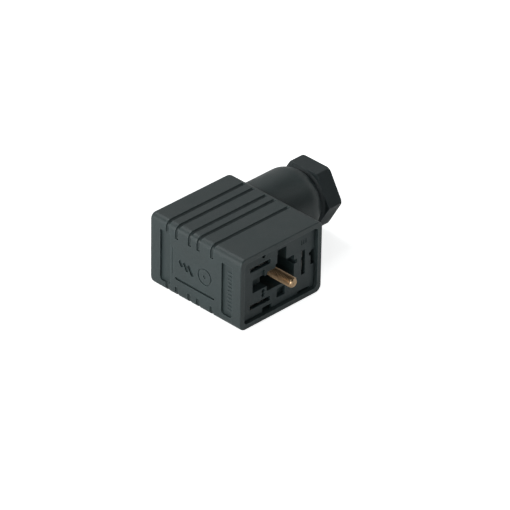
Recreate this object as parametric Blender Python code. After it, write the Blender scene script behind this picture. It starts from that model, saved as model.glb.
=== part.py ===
"""Cable socket for a solenoid valve: rectangular three-pole plug with a side cable gland.

Axes: X runs along the cable gland, -Y is the way the socket faces the valve, +Z is up.
Every size below is in the object's own frame: x from the blind end of the housing, y from
the mating rim, z from the side that the socket rests on.  The assembly empty carries that
frame to the origin, which is the middle of the whole object's base.
"""

import math

import bmesh
import bpy
from mathutils import Matrix, Vector

MM = 0.001

# Housing
BODY_LENGTH = 29.1 * MM
BODY_DEPTH = 33.3 * MM
BODY_WIDTH = 21.0 * MM
SIDE_EDGE_RADIUS = 1.9 * MM
BACK_EDGE_RADIUS = 1.6 * MM
RIM_CHAMFER = 0.25 * MM
WALL = 1.5 * MM
BACK_WALL = 1.9 * MM
CORNER_POST = 1.3 * MM
MIDDLE = Vector((BODY_LENGTH / 2, 0, BODY_WIDTH / 2))

# Grip grooves that wrap over the blind end
GROOVE_PLACES = [10.4 * MM, 15.3 * MM, 18.4 * MM, 23.0 * MM, 26.4 * MM]
GROOVE_WIDTH = 1.2 * MM
GROOVE_DEPTH = 0.6 * MM
GROOVE_REACH = 27.5 * MM
GROOVE_DROP = 3.7 * MM
LOWER_GROOVE_DROP = 2.4 * MM

# Sunk strips and the engraved line on the blind end
STRIP_DEPTH = 0.6 * MM
STRIP_WIDTH = 3.8 * MM
STRIP_FOOT = 2.7 * MM
STRIP_TOP = 17.9 * MM
STRIP_PLACES = [4.95 * MM, 27.1 * MM]
LINE_LENGTH = 14.2 * MM
LINE_CENTRE = Vector((0, 16.4 * MM, 5.66 * MM))
LINE_WIDTH = 0.8 * MM

# Gland neck of the housing
NECK_AXIS = Vector((0, 23.95 * MM, BODY_WIDTH / 2))
NECK_RADIUS = 9.3 * MM
NECK_STRAIGHT_END = BODY_LENGTH + 11.7 * MM
NECK_END = BODY_LENGTH + 16.3 * MM
NECK_LIP_RADIUS = 7.75 * MM
THREAD_RADIUS = 7.15 * MM
THREAD_PLAY = 0.1 * MM
SEAL_SEAT = 29.5 * MM
SEAL_BORE_END = 35.4 * MM
SEAL_BORE_RADIUS = 7.1 * MM
CABLE_HOLE_RADIUS = 4.6 * MM

# Gland screw
HEX_FLATS = 16.4 * MM
HEX_CORNER_RADIUS = 9.35 * MM
HEAD_START = BODY_LENGTH + 16.5 * MM
HEAD_LENGTH = 5.7 * MM
HEAD_NECK_RADIUS = 7.9 * MM
HEAD_NECK_SLOPE = 0.8 * MM
HEAD_CHAMFER = 0.5 * MM
SHANK_TIP = 36.3 * MM
GLAND_BORE_RADIUS = 4.4 * MM
GLAND_MOUTH_RADIUS = 5.6 * MM
TOTAL_LENGTH = HEAD_START + HEAD_LENGTH

# Rings and seal inside the gland
RING_GAP = 0.1 * MM
RING_THICKNESS = 0.7 * MM
RING_RADIUS = 6.9 * MM
RING_HOLE_RADIUS = 4.3 * MM
SEAL_LENGTH = 5.0 * MM
SEAL_HOLE_RADIUS = 3.6 * MM

# Centre screw
SCREW_RADIUS = 1.45 * MM
SCREW_SEAT = 27.5 * MM
SCREW_TIP_OUT = 4.5 * MM
SCREW_HEAD_RADIUS = 2.75 * MM
SCREW_HEAD_HEIGHT = 2.2 * MM
COUNTERBORE_RADIUS = 3.6 * MM
SCREW_BOSS_RADIUS = 5.0 * MM
SCREW_BOSS_FLOOR = 26.0 * MM
SCREW_HOLE_RADIUS = 1.75 * MM
RUBBER_RING = 0.9 * MM
WASHER_THICKNESS = 0.5 * MM

# Contact insert
INSERT_PLAY = 0.35 * MM
INSERT_SUNK = 0.95 * MM
INSERT_SLAB_BACK = 11.0 * MM
INSERT_CORNER = 1.1 * MM
TOWER_BACK = 17.6 * MM
TOWER_WALL = 1.1 * MM
PILLAR_RADIUS = 3.1 * MM
PILLAR_TOP = 25.7 * MM
SLOT_LENGTH = 7.2 * MM
SLOT_WIDTH = 1.35 * MM
SLOT_LIP = 1.0 * MM
POCKET_LENGTH = 7.4 * MM
POCKET_WIDTH = 3.4 * MM
POLE_SPACING = 11.0 * MM
POLE_X = 7.9 * MM
EARTH_X = 23.3 * MM

# Terminals
BLOCK_LONG = 7.0 * MM
BLOCK_SHORT = 5.0 * MM
BLOCK_FOOT = 11.15 * MM
BLOCK_FLOOR = 1.0 * MM
BLOCK_ROOM = 3.9 * MM
BLOCK_ROOF = 2.4 * MM
WIRE_ROOM_WIDTH = 3.2 * MM
TAPPED_RADIUS = 1.6 * MM
CLAMP_THICKNESS = 0.6 * MM
CLAMP_WIDTH = 2.9 * MM
TERMINAL_LIFT = 2.3 * MM
TERMINAL_HEAD_RADIUS = 2.25 * MM
TERMINAL_HEAD_HEIGHT = 1.5 * MM
SLOT_CUT = 0.7 * MM
LEAF_THICKNESS = 0.4 * MM

BLOCK_TOP = BLOCK_FOOT + BLOCK_FLOOR + BLOCK_ROOM + BLOCK_ROOF
TERMINALS = {
    "1": (POLE_X, BODY_WIDTH / 2 + POLE_SPACING / 2, False),
    "2": (POLE_X, BODY_WIDTH / 2 - POLE_SPACING / 2, False),
    "earth": (EARTH_X, BODY_WIDTH / 2, True),
}

ROUND_STEPS = 40
SMALL_ROUND_STEPS = 24
ALONG_X = Matrix.Rotation(math.pi / 2, 4, "Y")
ALONG_Y = Matrix.Rotation(-math.pi / 2, 4, "X")


# ---------------------------------------------------------------- scene and materials


def clear_scene():
    for old in list(bpy.data.objects):
        bpy.data.objects.remove(old)


def make_material(name, color, roughness, metallic=0.0):
    made = bpy.data.materials.new(name)
    made.use_nodes = True
    shader = made.node_tree.nodes["Principled BSDF"]
    shader.inputs["Base Color"].default_value = (*color, 1)
    shader.inputs["Roughness"].default_value = roughness
    shader.inputs["Metallic"].default_value = metallic
    return made


def make_assembly():
    """The empty whose frame has its corner at the housing's blind end and mating rim."""
    assembly = bpy.data.objects.new("assembly", None)
    assembly.location = (-TOTAL_LENGTH / 2, -(BODY_DEPTH - SCREW_TIP_OUT) / 2, 0)
    bpy.context.scene.collection.objects.link(assembly)
    return assembly


def add_object(name, shape, place=(0, 0, 0), material=None):
    """Links a bmesh as an object of the assembly, with its origin at place."""
    bmesh.ops.remove_doubles(shape, verts=shape.verts, dist=1e-7)
    bmesh.ops.recalc_face_normals(shape, faces=shape.faces)
    mesh = bpy.data.meshes.new(name)
    shape.to_mesh(mesh)
    shape.free()
    mesh.shade_smooth()
    mesh.set_sharp_from_angle(angle=math.radians(30))
    made = bpy.data.objects.new(name, mesh)
    made.location = place
    made.parent = bpy.data.objects["assembly"]
    bpy.context.scene.collection.objects.link(made)
    if material:
        mesh.materials.append(material)
    return made


def combine(target, helper, operation):
    """Adds a Boolean of the helper to the target and keeps the helper out of renders."""
    helper.hide_render = True
    helper.display_type = "WIRE"
    step = target.modifiers.new(helper.name, "BOOLEAN")
    step.operation = operation
    step.solver = "EXACT"
    step.object = helper


# ---------------------------------------------------------------- shapes


def add_box(shape, low, high):
    """Adds a box between two corners and returns its new vertices."""
    size = Vector(high) - Vector(low)
    centre = (Vector(high) + Vector(low)) / 2
    placed = Matrix.Translation(centre) @ Matrix.Diagonal((*size, 1))
    return bmesh.ops.create_cube(shape, size=1, matrix=placed)["verts"]


def box_shape(low, high):
    shape = bmesh.new()
    add_box(shape, low, high)
    return shape


def edges_along(shape, axis):
    """Edges whose two ends differ only along one axis."""
    others = [i for i in range(3) if i != axis]
    return [
        e for e in shape.edges
        if all(abs(e.verts[0].co[i] - e.verts[1].co[i]) < 1e-6 for i in others)
    ]


def rim_edges(shape, y):
    """Edges that lie in the plane at this y."""
    return [e for e in shape.edges if all(abs(v.co.y - y) < 1e-6 for v in e.verts)]


def bevel(shape, edges, radius, segments):
    bmesh.ops.bevel(shape, geom=edges, offset=radius, segments=segments, profile=0.5, affect="EDGES")


def rounded_prism(low, high, radius, segments=4):
    """A box whose four edges along Y are rounded."""
    shape = box_shape(low, high)
    bevel(shape, edges_along(shape, 1), radius, segments)
    return shape


def turned(profile, steps=ROUND_STEPS, turn=Matrix.Identity(4)):
    """A closed profile of (radius, height) points turned round Z, then laid along another axis."""
    shape = bmesh.new()
    rings = []
    for radius, height in profile:
        count = 1 if radius == 0 else steps
        angles = [2 * math.pi * (i + 0.5) / steps for i in range(count)]
        rings.append([
            shape.verts.new((radius * math.cos(a), radius * math.sin(a), height)) for a in angles
        ])
    for ring, following in zip(rings, rings[1:] + rings[:1]):
        for i in range(steps):
            corners = [
                ring[i % len(ring)], ring[(i + 1) % len(ring)],
                following[(i + 1) % len(following)], following[i % len(following)],
            ]
            corners = list(dict.fromkeys(corners))
            if len(corners) > 2:
                shape.faces.new(corners)
    shape.transform(turn)
    return shape


def rod(radius, start, end, steps=ROUND_STEPS, turn=Matrix.Identity(4)):
    return turned([(0, start), (radius, start), (radius, end), (0, end)], steps, turn)


def tube(inner, outer, start, end, steps=ROUND_STEPS, turn=Matrix.Identity(4)):
    return turned([(inner, start), (outer, start), (outer, end), (inner, end)], steps, turn)


def extruded(outline, start, end, turn):
    """A flat outline of (a, b) points, extruded from start to end and turned into place."""
    shape = bmesh.new()
    face = shape.faces.new([shape.verts.new((a, b, start)) for a, b in outline])
    moved = bmesh.ops.extrude_face_region(shape, geom=[face])["geom"]
    for vertex in moved:
        if isinstance(vertex, bmesh.types.BMVert):
            vertex.co.z = end
    shape.transform(turn)
    return shape


def arc(centre, radius, first, last, steps):
    """Points on an arc, with its angles in degrees."""
    angles = [math.radians(first + (last - first) * i / steps) for i in range(steps + 1)]
    return [(centre[0] + radius * math.cos(a), centre[1] + radius * math.sin(a)) for a in angles]


def join_shapes(shapes):
    """One bmesh that holds several separate bodies, for use as a cutter."""
    joined = bmesh.new()
    for shape in shapes:
        held = bpy.data.meshes.new("held")
        bmesh.ops.recalc_face_normals(shape, faces=shape.faces)
        shape.to_mesh(held)
        shape.free()
        joined.from_mesh(held)
        bpy.data.meshes.remove(held)
    return joined


# ---------------------------------------------------------------- housing


def groove_cutter():
    """Ten grooves: each runs along a broad side and turns down over the blind end."""
    inner_radius = SIDE_EDGE_RADIUS - GROOVE_DEPTH
    beyond = 1.0 * MM
    bend = (SIDE_EDGE_RADIUS, BODY_WIDTH - SIDE_EDGE_RADIUS)
    stand_up = Matrix.Rotation(math.pi / 2, 4, "X")
    grooves = []
    for y in GROOVE_PLACES:
        for drop, flip in ((GROOVE_DROP, False), (LOWER_GROOVE_DROP, True)):
            outline = [
                (GROOVE_REACH, BODY_WIDTH + beyond),
                (-beyond, BODY_WIDTH + beyond),
                (-beyond, BODY_WIDTH - drop),
                (GROOVE_DEPTH, BODY_WIDTH - drop),
                *arc(bend, inner_radius, 180, 90, 5),
                (GROOVE_REACH, BODY_WIDTH - GROOVE_DEPTH),
            ]
            upright = [(a, BODY_WIDTH - b if flip else b) for a, b in outline]
            grooves.append(extruded(upright, -y - GROOVE_WIDTH / 2, -y + GROOVE_WIDTH / 2, stand_up))
    return join_shapes(grooves)


def blind_end_cutter():
    """The two sunk strips and the engraved line on the blind end."""
    beyond = 1.0 * MM
    cuts = []
    for y in STRIP_PLACES:
        strip = box_shape(
            (-beyond, y - STRIP_WIDTH / 2, STRIP_FOOT), (STRIP_DEPTH, y + STRIP_WIDTH / 2, STRIP_TOP)
        )
        bevel(strip, edges_along(strip, 0), 0.8 * MM, 3)
        cuts.append(strip)
    half = Vector((0, LINE_LENGTH / 2, LINE_WIDTH / 2))
    cuts.append(box_shape(
        LINE_CENTRE - half - Vector((beyond, 0, 0)), LINE_CENTRE + half + Vector((STRIP_DEPTH, 0, 0))
    ))
    return join_shapes(cuts)


def gland_bore_cutter():
    """The threaded mouth, the seal's seat and the hole into the wiring room."""
    beyond = 1.0 * MM
    mouth = THREAD_RADIUS + THREAD_PLAY
    return turned([
        (0, BODY_LENGTH - 2 * WALL),
        (CABLE_HOLE_RADIUS, BODY_LENGTH - 2 * WALL),
        (CABLE_HOLE_RADIUS, SEAL_SEAT),
        (SEAL_BORE_RADIUS, SEAL_SEAT),
        (SEAL_BORE_RADIUS, SEAL_BORE_END),
        (mouth, SEAL_BORE_END + (mouth - SEAL_BORE_RADIUS)),
        (mouth, NECK_END + beyond),
        (0, NECK_END + beyond),
    ], turn=ALONG_X)


def neck_shape():
    """A cylinder whose free end is drawn in by one long arc."""
    start = BODY_LENGTH - 2 * MM
    drop = NECK_RADIUS - NECK_LIP_RADIUS
    length = NECK_END - NECK_STRAIGHT_END
    radius = (drop ** 2 + length ** 2) / (2 * drop)
    sweep = math.degrees(math.asin(length / radius))
    return turned([
        (0, start),
        (NECK_RADIUS, start),
        *arc((NECK_RADIUS - radius, NECK_STRAIGHT_END), radius, 0, sweep, 5),
        (0, NECK_END),
    ], turn=ALONG_X)


def build_housing(plastic):
    body = rounded_prism((0, 0, 0), (BODY_LENGTH, BODY_DEPTH, BODY_WIDTH), SIDE_EDGE_RADIUS, 6)
    bevel(body, rim_edges(body, BODY_DEPTH), BACK_EDGE_RADIUS, 4)
    bevel(body, rim_edges(body, 0), RIM_CHAMFER, 1)
    housing = add_object("housing", body, material=plastic)

    combine(housing, add_object("neck_form", neck_shape(), NECK_AXIS), "UNION")

    room = rounded_prism(
        (WALL, -WALL, WALL),
        (BODY_LENGTH - WALL, BODY_DEPTH - BACK_WALL, BODY_WIDTH - WALL),
        INSERT_CORNER,
    )
    combine(housing, add_object("room_cutter", room), "DIFFERENCE")

    posts = []
    back = BODY_DEPTH - BACK_WALL + WALL / 2
    for x in (WALL - 0.4 * MM, BODY_LENGTH - WALL - CORNER_POST):
        for z in (WALL - 0.4 * MM, BODY_WIDTH - WALL - CORNER_POST):
            corner = Vector((x, INSERT_SLAB_BACK + INSERT_PLAY, z))
            size = Vector((CORNER_POST + 0.4 * MM, back - corner.y, CORNER_POST + 0.4 * MM))
            posts.append(box_shape(corner, corner + size))
    combine(housing, add_object("corner_posts", join_shapes(posts)), "UNION")

    boss = rod(SCREW_BOSS_RADIUS, SCREW_BOSS_FLOOR, back, turn=ALONG_Y)
    combine(housing, add_object("screw_boss", boss, MIDDLE), "UNION")
    counterbore = turned([
        (0, SCREW_BOSS_FLOOR - WALL),
        (SCREW_HOLE_RADIUS, SCREW_BOSS_FLOOR - WALL),
        (SCREW_HOLE_RADIUS, SCREW_SEAT),
        (COUNTERBORE_RADIUS, SCREW_SEAT),
        (COUNTERBORE_RADIUS, BODY_DEPTH + WALL),
        (0, BODY_DEPTH + WALL),
    ], SMALL_ROUND_STEPS, ALONG_Y)
    combine(housing, add_object("counterbore_cutter", counterbore, MIDDLE), "DIFFERENCE")
    combine(housing, add_object("gland_bore_cutter", gland_bore_cutter(), NECK_AXIS), "DIFFERENCE")
    combine(housing, add_object("groove_cutter", groove_cutter()), "DIFFERENCE")
    combine(housing, add_object("blind_end_cutter", blind_end_cutter()), "DIFFERENCE")


# ---------------------------------------------------------------- contact insert


def block_size(upright):
    """Size of a terminal block along X and Z."""
    return (BLOCK_SHORT, BLOCK_LONG) if upright else (BLOCK_LONG, BLOCK_SHORT)


def slab_box(x, z, size_x, size_z, start, end):
    """A box centred on x and z, from start to end along Y."""
    return box_shape((x - size_x / 2, start, z - size_z / 2), (x + size_x / 2, end, z + size_z / 2))


def front_recess_cutter():
    """The stepped hollow round the centre screw and the two latch notches, cut from the front."""
    front = INSERT_SUNK - 1.0 * MM
    low_x = WALL + INSERT_PLAY
    high_x = BODY_LENGTH - low_x
    steps = [
        ((10.3, 7.4), (20.0, 13.2), 7.0),
        ((13.9, 12.9), (17.1, 18.0), 2.6),
        ((5.2, 8.7), (10.6, 12.6), 2.4),
        ((19.7, 11.4), (21.1, 12.6), 2.4),
    ]
    cuts = [
        box_shape((a * MM, front, b * MM), (c * MM, INSERT_SUNK + depth * MM, d * MM))
        for (a, b), (c, d), depth in steps
    ]
    notch_depth = INSERT_SUNK + 2.2 * MM
    beyond = 1.0 * MM
    cuts.append(box_shape((high_x - 1.3 * MM, front, 8.6 * MM), (high_x + beyond, notch_depth, 13.0 * MM)))
    cuts.append(box_shape((8.8 * MM, front, low_x - beyond), (12.1 * MM, notch_depth, 3.2 * MM)))
    return cuts


def combine_each(target, name, shapes, operation):
    for number, shape in enumerate(shapes):
        combine(target, add_object(f"{name}_{number}", shape), operation)


def build_insert(plastic):
    low = Vector((WALL + INSERT_PLAY, INSERT_SUNK, WALL + INSERT_PLAY))
    high = Vector((BODY_LENGTH - low.x, INSERT_SLAB_BACK, BODY_WIDTH - low.z))
    insert = add_object("contact_insert", rounded_prism(low, high, INSERT_CORNER), material=plastic)
    root = INSERT_SLAB_BACK - 1.0 * MM
    for name, (x, z, upright) in TERMINALS.items():
        size_x, size_z = (s + 2 * TOWER_WALL for s in block_size(upright))
        tower = box_shape(
            (x - size_x / 2, root, max(z - size_z / 2, low.z + 0.05 * MM)),
            (x + size_x / 2, TOWER_BACK, min(z + size_z / 2, high.z - 0.05 * MM)),
        )
        combine(insert, add_object(f"tower_{name}", tower), "UNION")
    pillar = rod(PILLAR_RADIUS, root, PILLAR_TOP, SMALL_ROUND_STEPS, ALONG_Y)
    combine(insert, add_object("pillar_form", pillar, MIDDLE), "UNION")

    play = 0.15 * MM
    for name, (x, z, upright) in TERMINALS.items():
        size_x, size_z = (s + 2 * play for s in block_size(upright))
        seat = slab_box(x, z, size_x, size_z, INSERT_SLAB_BACK, TOWER_BACK + WALL)
        combine(insert, add_object(f"seat_cutter_{name}", seat), "DIFFERENCE")
        wide, thin = POCKET_LENGTH, POCKET_WIDTH
        pocket_x, pocket_z = (thin, wide) if upright else (wide, thin)
        pocket = slab_box(x, z, pocket_x, pocket_z, INSERT_SUNK + SLOT_LIP, INSERT_SLAB_BACK + WALL)
        combine(insert, add_object(f"pocket_cutter_{name}", pocket), "DIFFERENCE")
        slot_x, slot_z = (SLOT_WIDTH, SLOT_LENGTH) if upright else (SLOT_LENGTH, SLOT_WIDTH)
        slot = slab_box(x, z, slot_x, slot_z, INSERT_SUNK - WALL, INSERT_SUNK + SLOT_LIP + WALL)
        combine(insert, add_object(f"slot_cutter_{name}", slot), "DIFFERENCE")
        wire_start = BLOCK_FOOT + BLOCK_FLOOR
        wire_way = box_shape(
            (x, wire_start, z - WIRE_ROOM_WIDTH / 2),
            (x + size_x / 2 + 2 * TOWER_WALL, TOWER_BACK + WALL, z + WIRE_ROOM_WIDTH / 2),
        )
        combine(insert, add_object(f"wire_cutter_{name}", wire_way), "DIFFERENCE")
    bore = rod(SCREW_HOLE_RADIUS, INSERT_SUNK, PILLAR_TOP + WALL, SMALL_ROUND_STEPS, ALONG_Y)
    combine(insert, add_object("screw_bore_cutter", bore, MIDDLE), "DIFFERENCE")
    combine_each(insert, "front_cutter", front_recess_cutter(), "DIFFERENCE")


# ---------------------------------------------------------------- terminals


def contact_outline():
    """Half of the spring receptacle in section: (across the blade, along Y)."""
    mouth = INSERT_SUNK + SLOT_LIP + 0.3 * MM
    base = BLOCK_FOOT - 0.05 * MM
    leaf = LEAF_THICKNESS
    outer = [
        (1.45 * MM, base), (1.45 * MM, 7.5 * MM), (0.75 * MM, 4.2 * MM),
        (0.75 * MM, 3.6 * MM), (1.2 * MM, mouth),
    ]
    inner = [
        (1.2 * MM - leaf, mouth), (0.75 * MM - leaf, 3.6 * MM), (0.75 * MM - leaf, 4.2 * MM),
        (1.45 * MM - leaf, 7.5 * MM), (1.45 * MM - leaf, base - 1.5 * leaf),
    ]
    half = outer + inner
    return half + [(-a, b) for a, b in reversed(half)]


def build_contact(name, x, z, upright, metal):
    length = 6.5 * MM
    to_y = Matrix(((0, 0, 1, 0), (0, 1, 0, 0), (-1, 0, 0, 0), (0, 0, 0, 1)))
    turn = Matrix.Rotation(math.pi / 2, 4, "Y") @ to_y if upright else to_y
    shape = extruded(contact_outline(), -length / 2, length / 2, turn)
    add_object(f"contact_{name}", shape, (x, 0, z), metal)


def build_block(name, x, z, upright, metal):
    size_x, size_z = block_size(upright)
    block = add_object(
        f"terminal_block_{name}",
        slab_box(0, 0, size_x, size_z, BLOCK_FOOT, BLOCK_TOP),
        (x, 0, z), metal,
    )
    room = slab_box(
        0, 0, 2 * size_x, WIRE_ROOM_WIDTH,
        BLOCK_FOOT + BLOCK_FLOOR, BLOCK_FOOT + BLOCK_FLOOR + BLOCK_ROOM,
    )
    combine(block, add_object(f"wire_room_cutter_{name}", room, (x, 0, z)), "DIFFERENCE")
    hole = rod(TAPPED_RADIUS, BLOCK_TOP - 2 * BLOCK_ROOF, BLOCK_TOP + WALL, SMALL_ROUND_STEPS, ALONG_Y)
    combine(block, add_object(f"tapped_cutter_{name}", hole, (x, 0, z)), "DIFFERENCE")


def build_clamp(name, x, z, upright, metal):
    size_x, _ = block_size(upright)
    ceiling = BLOCK_FOOT + BLOCK_FLOOR + BLOCK_ROOM
    plate = slab_box(
        0, 0, size_x - 1.2 * MM, CLAMP_WIDTH,
        ceiling - 0.1 * MM - CLAMP_THICKNESS, ceiling - 0.1 * MM,
    )
    bevel(plate, edges_along(plate, 2), 0.2 * MM, 2)
    add_object(f"clamp_plate_{name}", plate, (x, 0, z), metal)


def slotted_screw(name, place, tip, seat, shank_radius, head_radius, head_height, metal):
    """A screw along Y: its shank from tip to seat, then a rounded head with a driver's slot."""
    edge = 0.3 * head_height
    profile = [
        (0, tip),
        (shank_radius - 0.35 * MM, tip),
        (shank_radius, tip + 0.4 * MM),
        (shank_radius, seat),
        (head_radius, seat),
        *arc((head_radius - edge, seat + head_height - edge), edge, 0, 90, 3),
        (0, seat + head_height),
    ]
    screw = add_object(name, turned(profile, SMALL_ROUND_STEPS, ALONG_Y), place, metal)
    slot = slab_box(
        0, 0, 3 * head_radius, SLOT_CUT, seat + head_height / 2, seat + head_height + WALL
    )
    combine(screw, add_object(f"{name}_slot_cutter", slot, place), "DIFFERENCE")


def build_terminals(brass, steel):
    for name, (x, z, upright) in TERMINALS.items():
        build_contact(name, x, z, upright, brass)
        build_block(name, x, z, upright, brass)
        build_clamp(name, x, z, upright, steel)
        tip = BLOCK_FOOT + BLOCK_FLOOR + BLOCK_ROOM
        slotted_screw(
            f"terminal_screw_{name}", (x, 0, z), tip, BLOCK_TOP + TERMINAL_LIFT,
            SCREW_RADIUS, TERMINAL_HEAD_RADIUS, TERMINAL_HEAD_HEIGHT, steel,
        )


# ---------------------------------------------------------------- centre screw and gland


def build_centre_screw(yellow_steel, steel, rubber):
    seal_end = SCREW_SEAT + 0.05 * MM + RUBBER_RING
    washer_end = seal_end + 0.05 * MM + WASHER_THICKNESS
    slotted_screw(
        "centre_screw", MIDDLE, -SCREW_TIP_OUT, washer_end + 0.05 * MM,
        SCREW_RADIUS, SCREW_HEAD_RADIUS, SCREW_HEAD_HEIGHT, yellow_steel,
    )
    hole = SCREW_RADIUS + 0.12 * MM
    washer = tube(hole, 3.2 * MM, washer_end - WASHER_THICKNESS, washer_end, SMALL_ROUND_STEPS, ALONG_Y)
    add_object("screw_washer", washer, MIDDLE, steel)
    thick = RUBBER_RING / 2
    section = arc((hole + thick, SCREW_SEAT + 0.05 * MM + thick), thick, 0, 330, 11)
    add_object("screw_seal_ring", turned(section, SMALL_ROUND_STEPS, ALONG_Y), MIDDLE, rubber)


def build_gland_screw(plastic):
    """Hexagon head with turned corners, on a hollow shank that enters the neck."""
    corner = HEX_FLATS / math.sqrt(3)
    hexagon = [(corner * math.cos(a), corner * math.sin(a)) for a in
               (math.pi / 6 + math.pi / 3 * i for i in range(6))]
    end = HEAD_START + HEAD_LENGTH
    head = add_object(
        "gland_screw", extruded(hexagon, HEAD_START, end, ALONG_X), NECK_AXIS, plastic
    )
    land = HEX_CORNER_RADIUS - HEAD_CHAMFER
    corners = turned([
        (0, HEAD_START - MM), (HEAD_NECK_RADIUS, HEAD_START - MM), (HEAD_NECK_RADIUS, HEAD_START),
        (HEX_CORNER_RADIUS, HEAD_START + HEAD_NECK_SLOPE),
        (HEX_CORNER_RADIUS, end - HEAD_CHAMFER), (land, end),
        (land, end + MM), (0, end + MM),
    ], 48, ALONG_X)
    combine(head, add_object("head_corner_form", corners, NECK_AXIS), "INTERSECT")
    shank = turned([
        (0, SHANK_TIP), (THREAD_RADIUS - 0.8 * MM, SHANK_TIP),
        (THREAD_RADIUS, SHANK_TIP + 0.8 * MM), (THREAD_RADIUS, HEAD_START + MM), (0, HEAD_START + MM),
    ], turn=ALONG_X)
    combine(head, add_object("shank_form", shank, NECK_AXIS), "UNION")
    flare = GLAND_MOUTH_RADIUS - GLAND_BORE_RADIUS
    bore = turned([
        (0, SHANK_TIP - MM), (GLAND_BORE_RADIUS, SHANK_TIP - MM),
        *[(GLAND_MOUTH_RADIUS - (a - GLAND_MOUTH_RADIUS), b) for a, b in
          arc((GLAND_MOUTH_RADIUS, end - flare), flare, 0, 90, 4)],
        (GLAND_MOUTH_RADIUS, end + MM), (0, end + MM),
    ], turn=ALONG_X)
    combine(head, add_object("gland_screw_bore_cutter", bore, NECK_AXIS), "DIFFERENCE")


def build_gland_rings(steel, rubber):
    start = SEAL_SEAT + RING_GAP
    seat_ring = tube(RING_HOLE_RADIUS, RING_RADIUS, start, start + RING_THICKNESS, turn=ALONG_X)
    add_object("gland_seat_ring", seat_ring, NECK_AXIS, steel)
    start += RING_THICKNESS + RING_GAP
    soft = 0.6 * MM
    seal = turned([
        (SEAL_HOLE_RADIUS + soft, start), (RING_RADIUS - soft, start),
        (RING_RADIUS, start + soft), (RING_RADIUS, start + SEAL_LENGTH - soft),
        (RING_RADIUS - soft, start + SEAL_LENGTH), (SEAL_HOLE_RADIUS + soft, start + SEAL_LENGTH),
        (SEAL_HOLE_RADIUS, start + SEAL_LENGTH - soft), (SEAL_HOLE_RADIUS, start + soft),
    ], turn=ALONG_X)
    add_object("gland_seal", seal, NECK_AXIS, rubber)
    end = SHANK_TIP - RING_GAP
    push_ring = tube(RING_HOLE_RADIUS, RING_RADIUS, end - RING_THICKNESS, end, turn=ALONG_X)
    add_object("gland_push_ring", push_ring, NECK_AXIS, steel)


def main():
    clear_scene()
    make_assembly()
    black_plastic = make_material("black_plastic", (0.055, 0.065, 0.065), 0.55)
    grey_black_plastic = make_material("insert_plastic", (0.07, 0.08, 0.08), 0.6)
    brass = make_material("tinned_brass", (0.75, 0.62, 0.35), 0.35, 1.0)
    steel = make_material("zinc_steel", (0.6, 0.6, 0.58), 0.35, 1.0)
    yellow_steel = make_material("yellow_zinc_steel", (0.72, 0.52, 0.28), 0.3, 1.0)
    rubber = make_material("black_rubber", (0.03, 0.03, 0.03), 0.8)
    build_housing(black_plastic)
    build_insert(grey_black_plastic)
    build_terminals(brass, steel)
    build_centre_screw(yellow_steel, steel, rubber)
    build_gland_screw(black_plastic)
    build_gland_rings(steel, rubber)


main()
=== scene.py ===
"""Looks of a cable socket for a solenoid valve: shell, contact insert, terminals, screws and gland.

Lengths are worked out in the socket's own corner frame: x from the blind end, y from the mating
rim and z from the side that it rests on.  A finished piece's mesh is moved to the CAD frame.
"""

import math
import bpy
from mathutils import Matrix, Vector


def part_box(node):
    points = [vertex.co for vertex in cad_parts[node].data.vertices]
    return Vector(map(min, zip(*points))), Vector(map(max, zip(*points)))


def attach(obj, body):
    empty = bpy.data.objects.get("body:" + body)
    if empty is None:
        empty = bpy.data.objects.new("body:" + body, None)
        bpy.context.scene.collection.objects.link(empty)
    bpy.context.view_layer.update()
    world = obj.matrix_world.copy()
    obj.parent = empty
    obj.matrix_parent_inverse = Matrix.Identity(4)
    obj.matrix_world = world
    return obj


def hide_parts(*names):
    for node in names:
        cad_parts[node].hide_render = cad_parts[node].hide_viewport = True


bl_info = {
    "name": "Valve cable socket",
    "version": (1, 0, 0),
    "blender": (4, 5, 0),
    "location": "3D View > Sidebar > Socket",
    "description": "Builds the visible pieces, finishes and studio of a plug-on cable socket",
    "category": "Add Mesh",
}

import bmesh
import bpy
from bpy.props import FloatProperty, FloatVectorProperty, IntProperty, PointerProperty
from mathutils import Matrix, Vector

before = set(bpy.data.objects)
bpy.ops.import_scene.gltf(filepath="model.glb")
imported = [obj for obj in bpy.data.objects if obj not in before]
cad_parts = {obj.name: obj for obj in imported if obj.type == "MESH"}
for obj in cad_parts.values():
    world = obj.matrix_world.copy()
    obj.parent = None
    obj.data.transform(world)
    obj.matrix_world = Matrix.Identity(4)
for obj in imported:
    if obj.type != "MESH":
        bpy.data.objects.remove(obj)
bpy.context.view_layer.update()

MM = 0.001
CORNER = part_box("housing")[0]
ALONG_X = Matrix.Rotation(math.pi / 2, 4, "Y")
ALONG_Y = Matrix.Rotation(-math.pi / 2, 4, "X")
NO_TURN = Matrix.Identity(4)


def corner_box(node):
    """Lowest and highest corner of a CAD node, measured from the socket's corner."""
    low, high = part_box(node)
    return low - CORNER, high - CORNER


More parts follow.
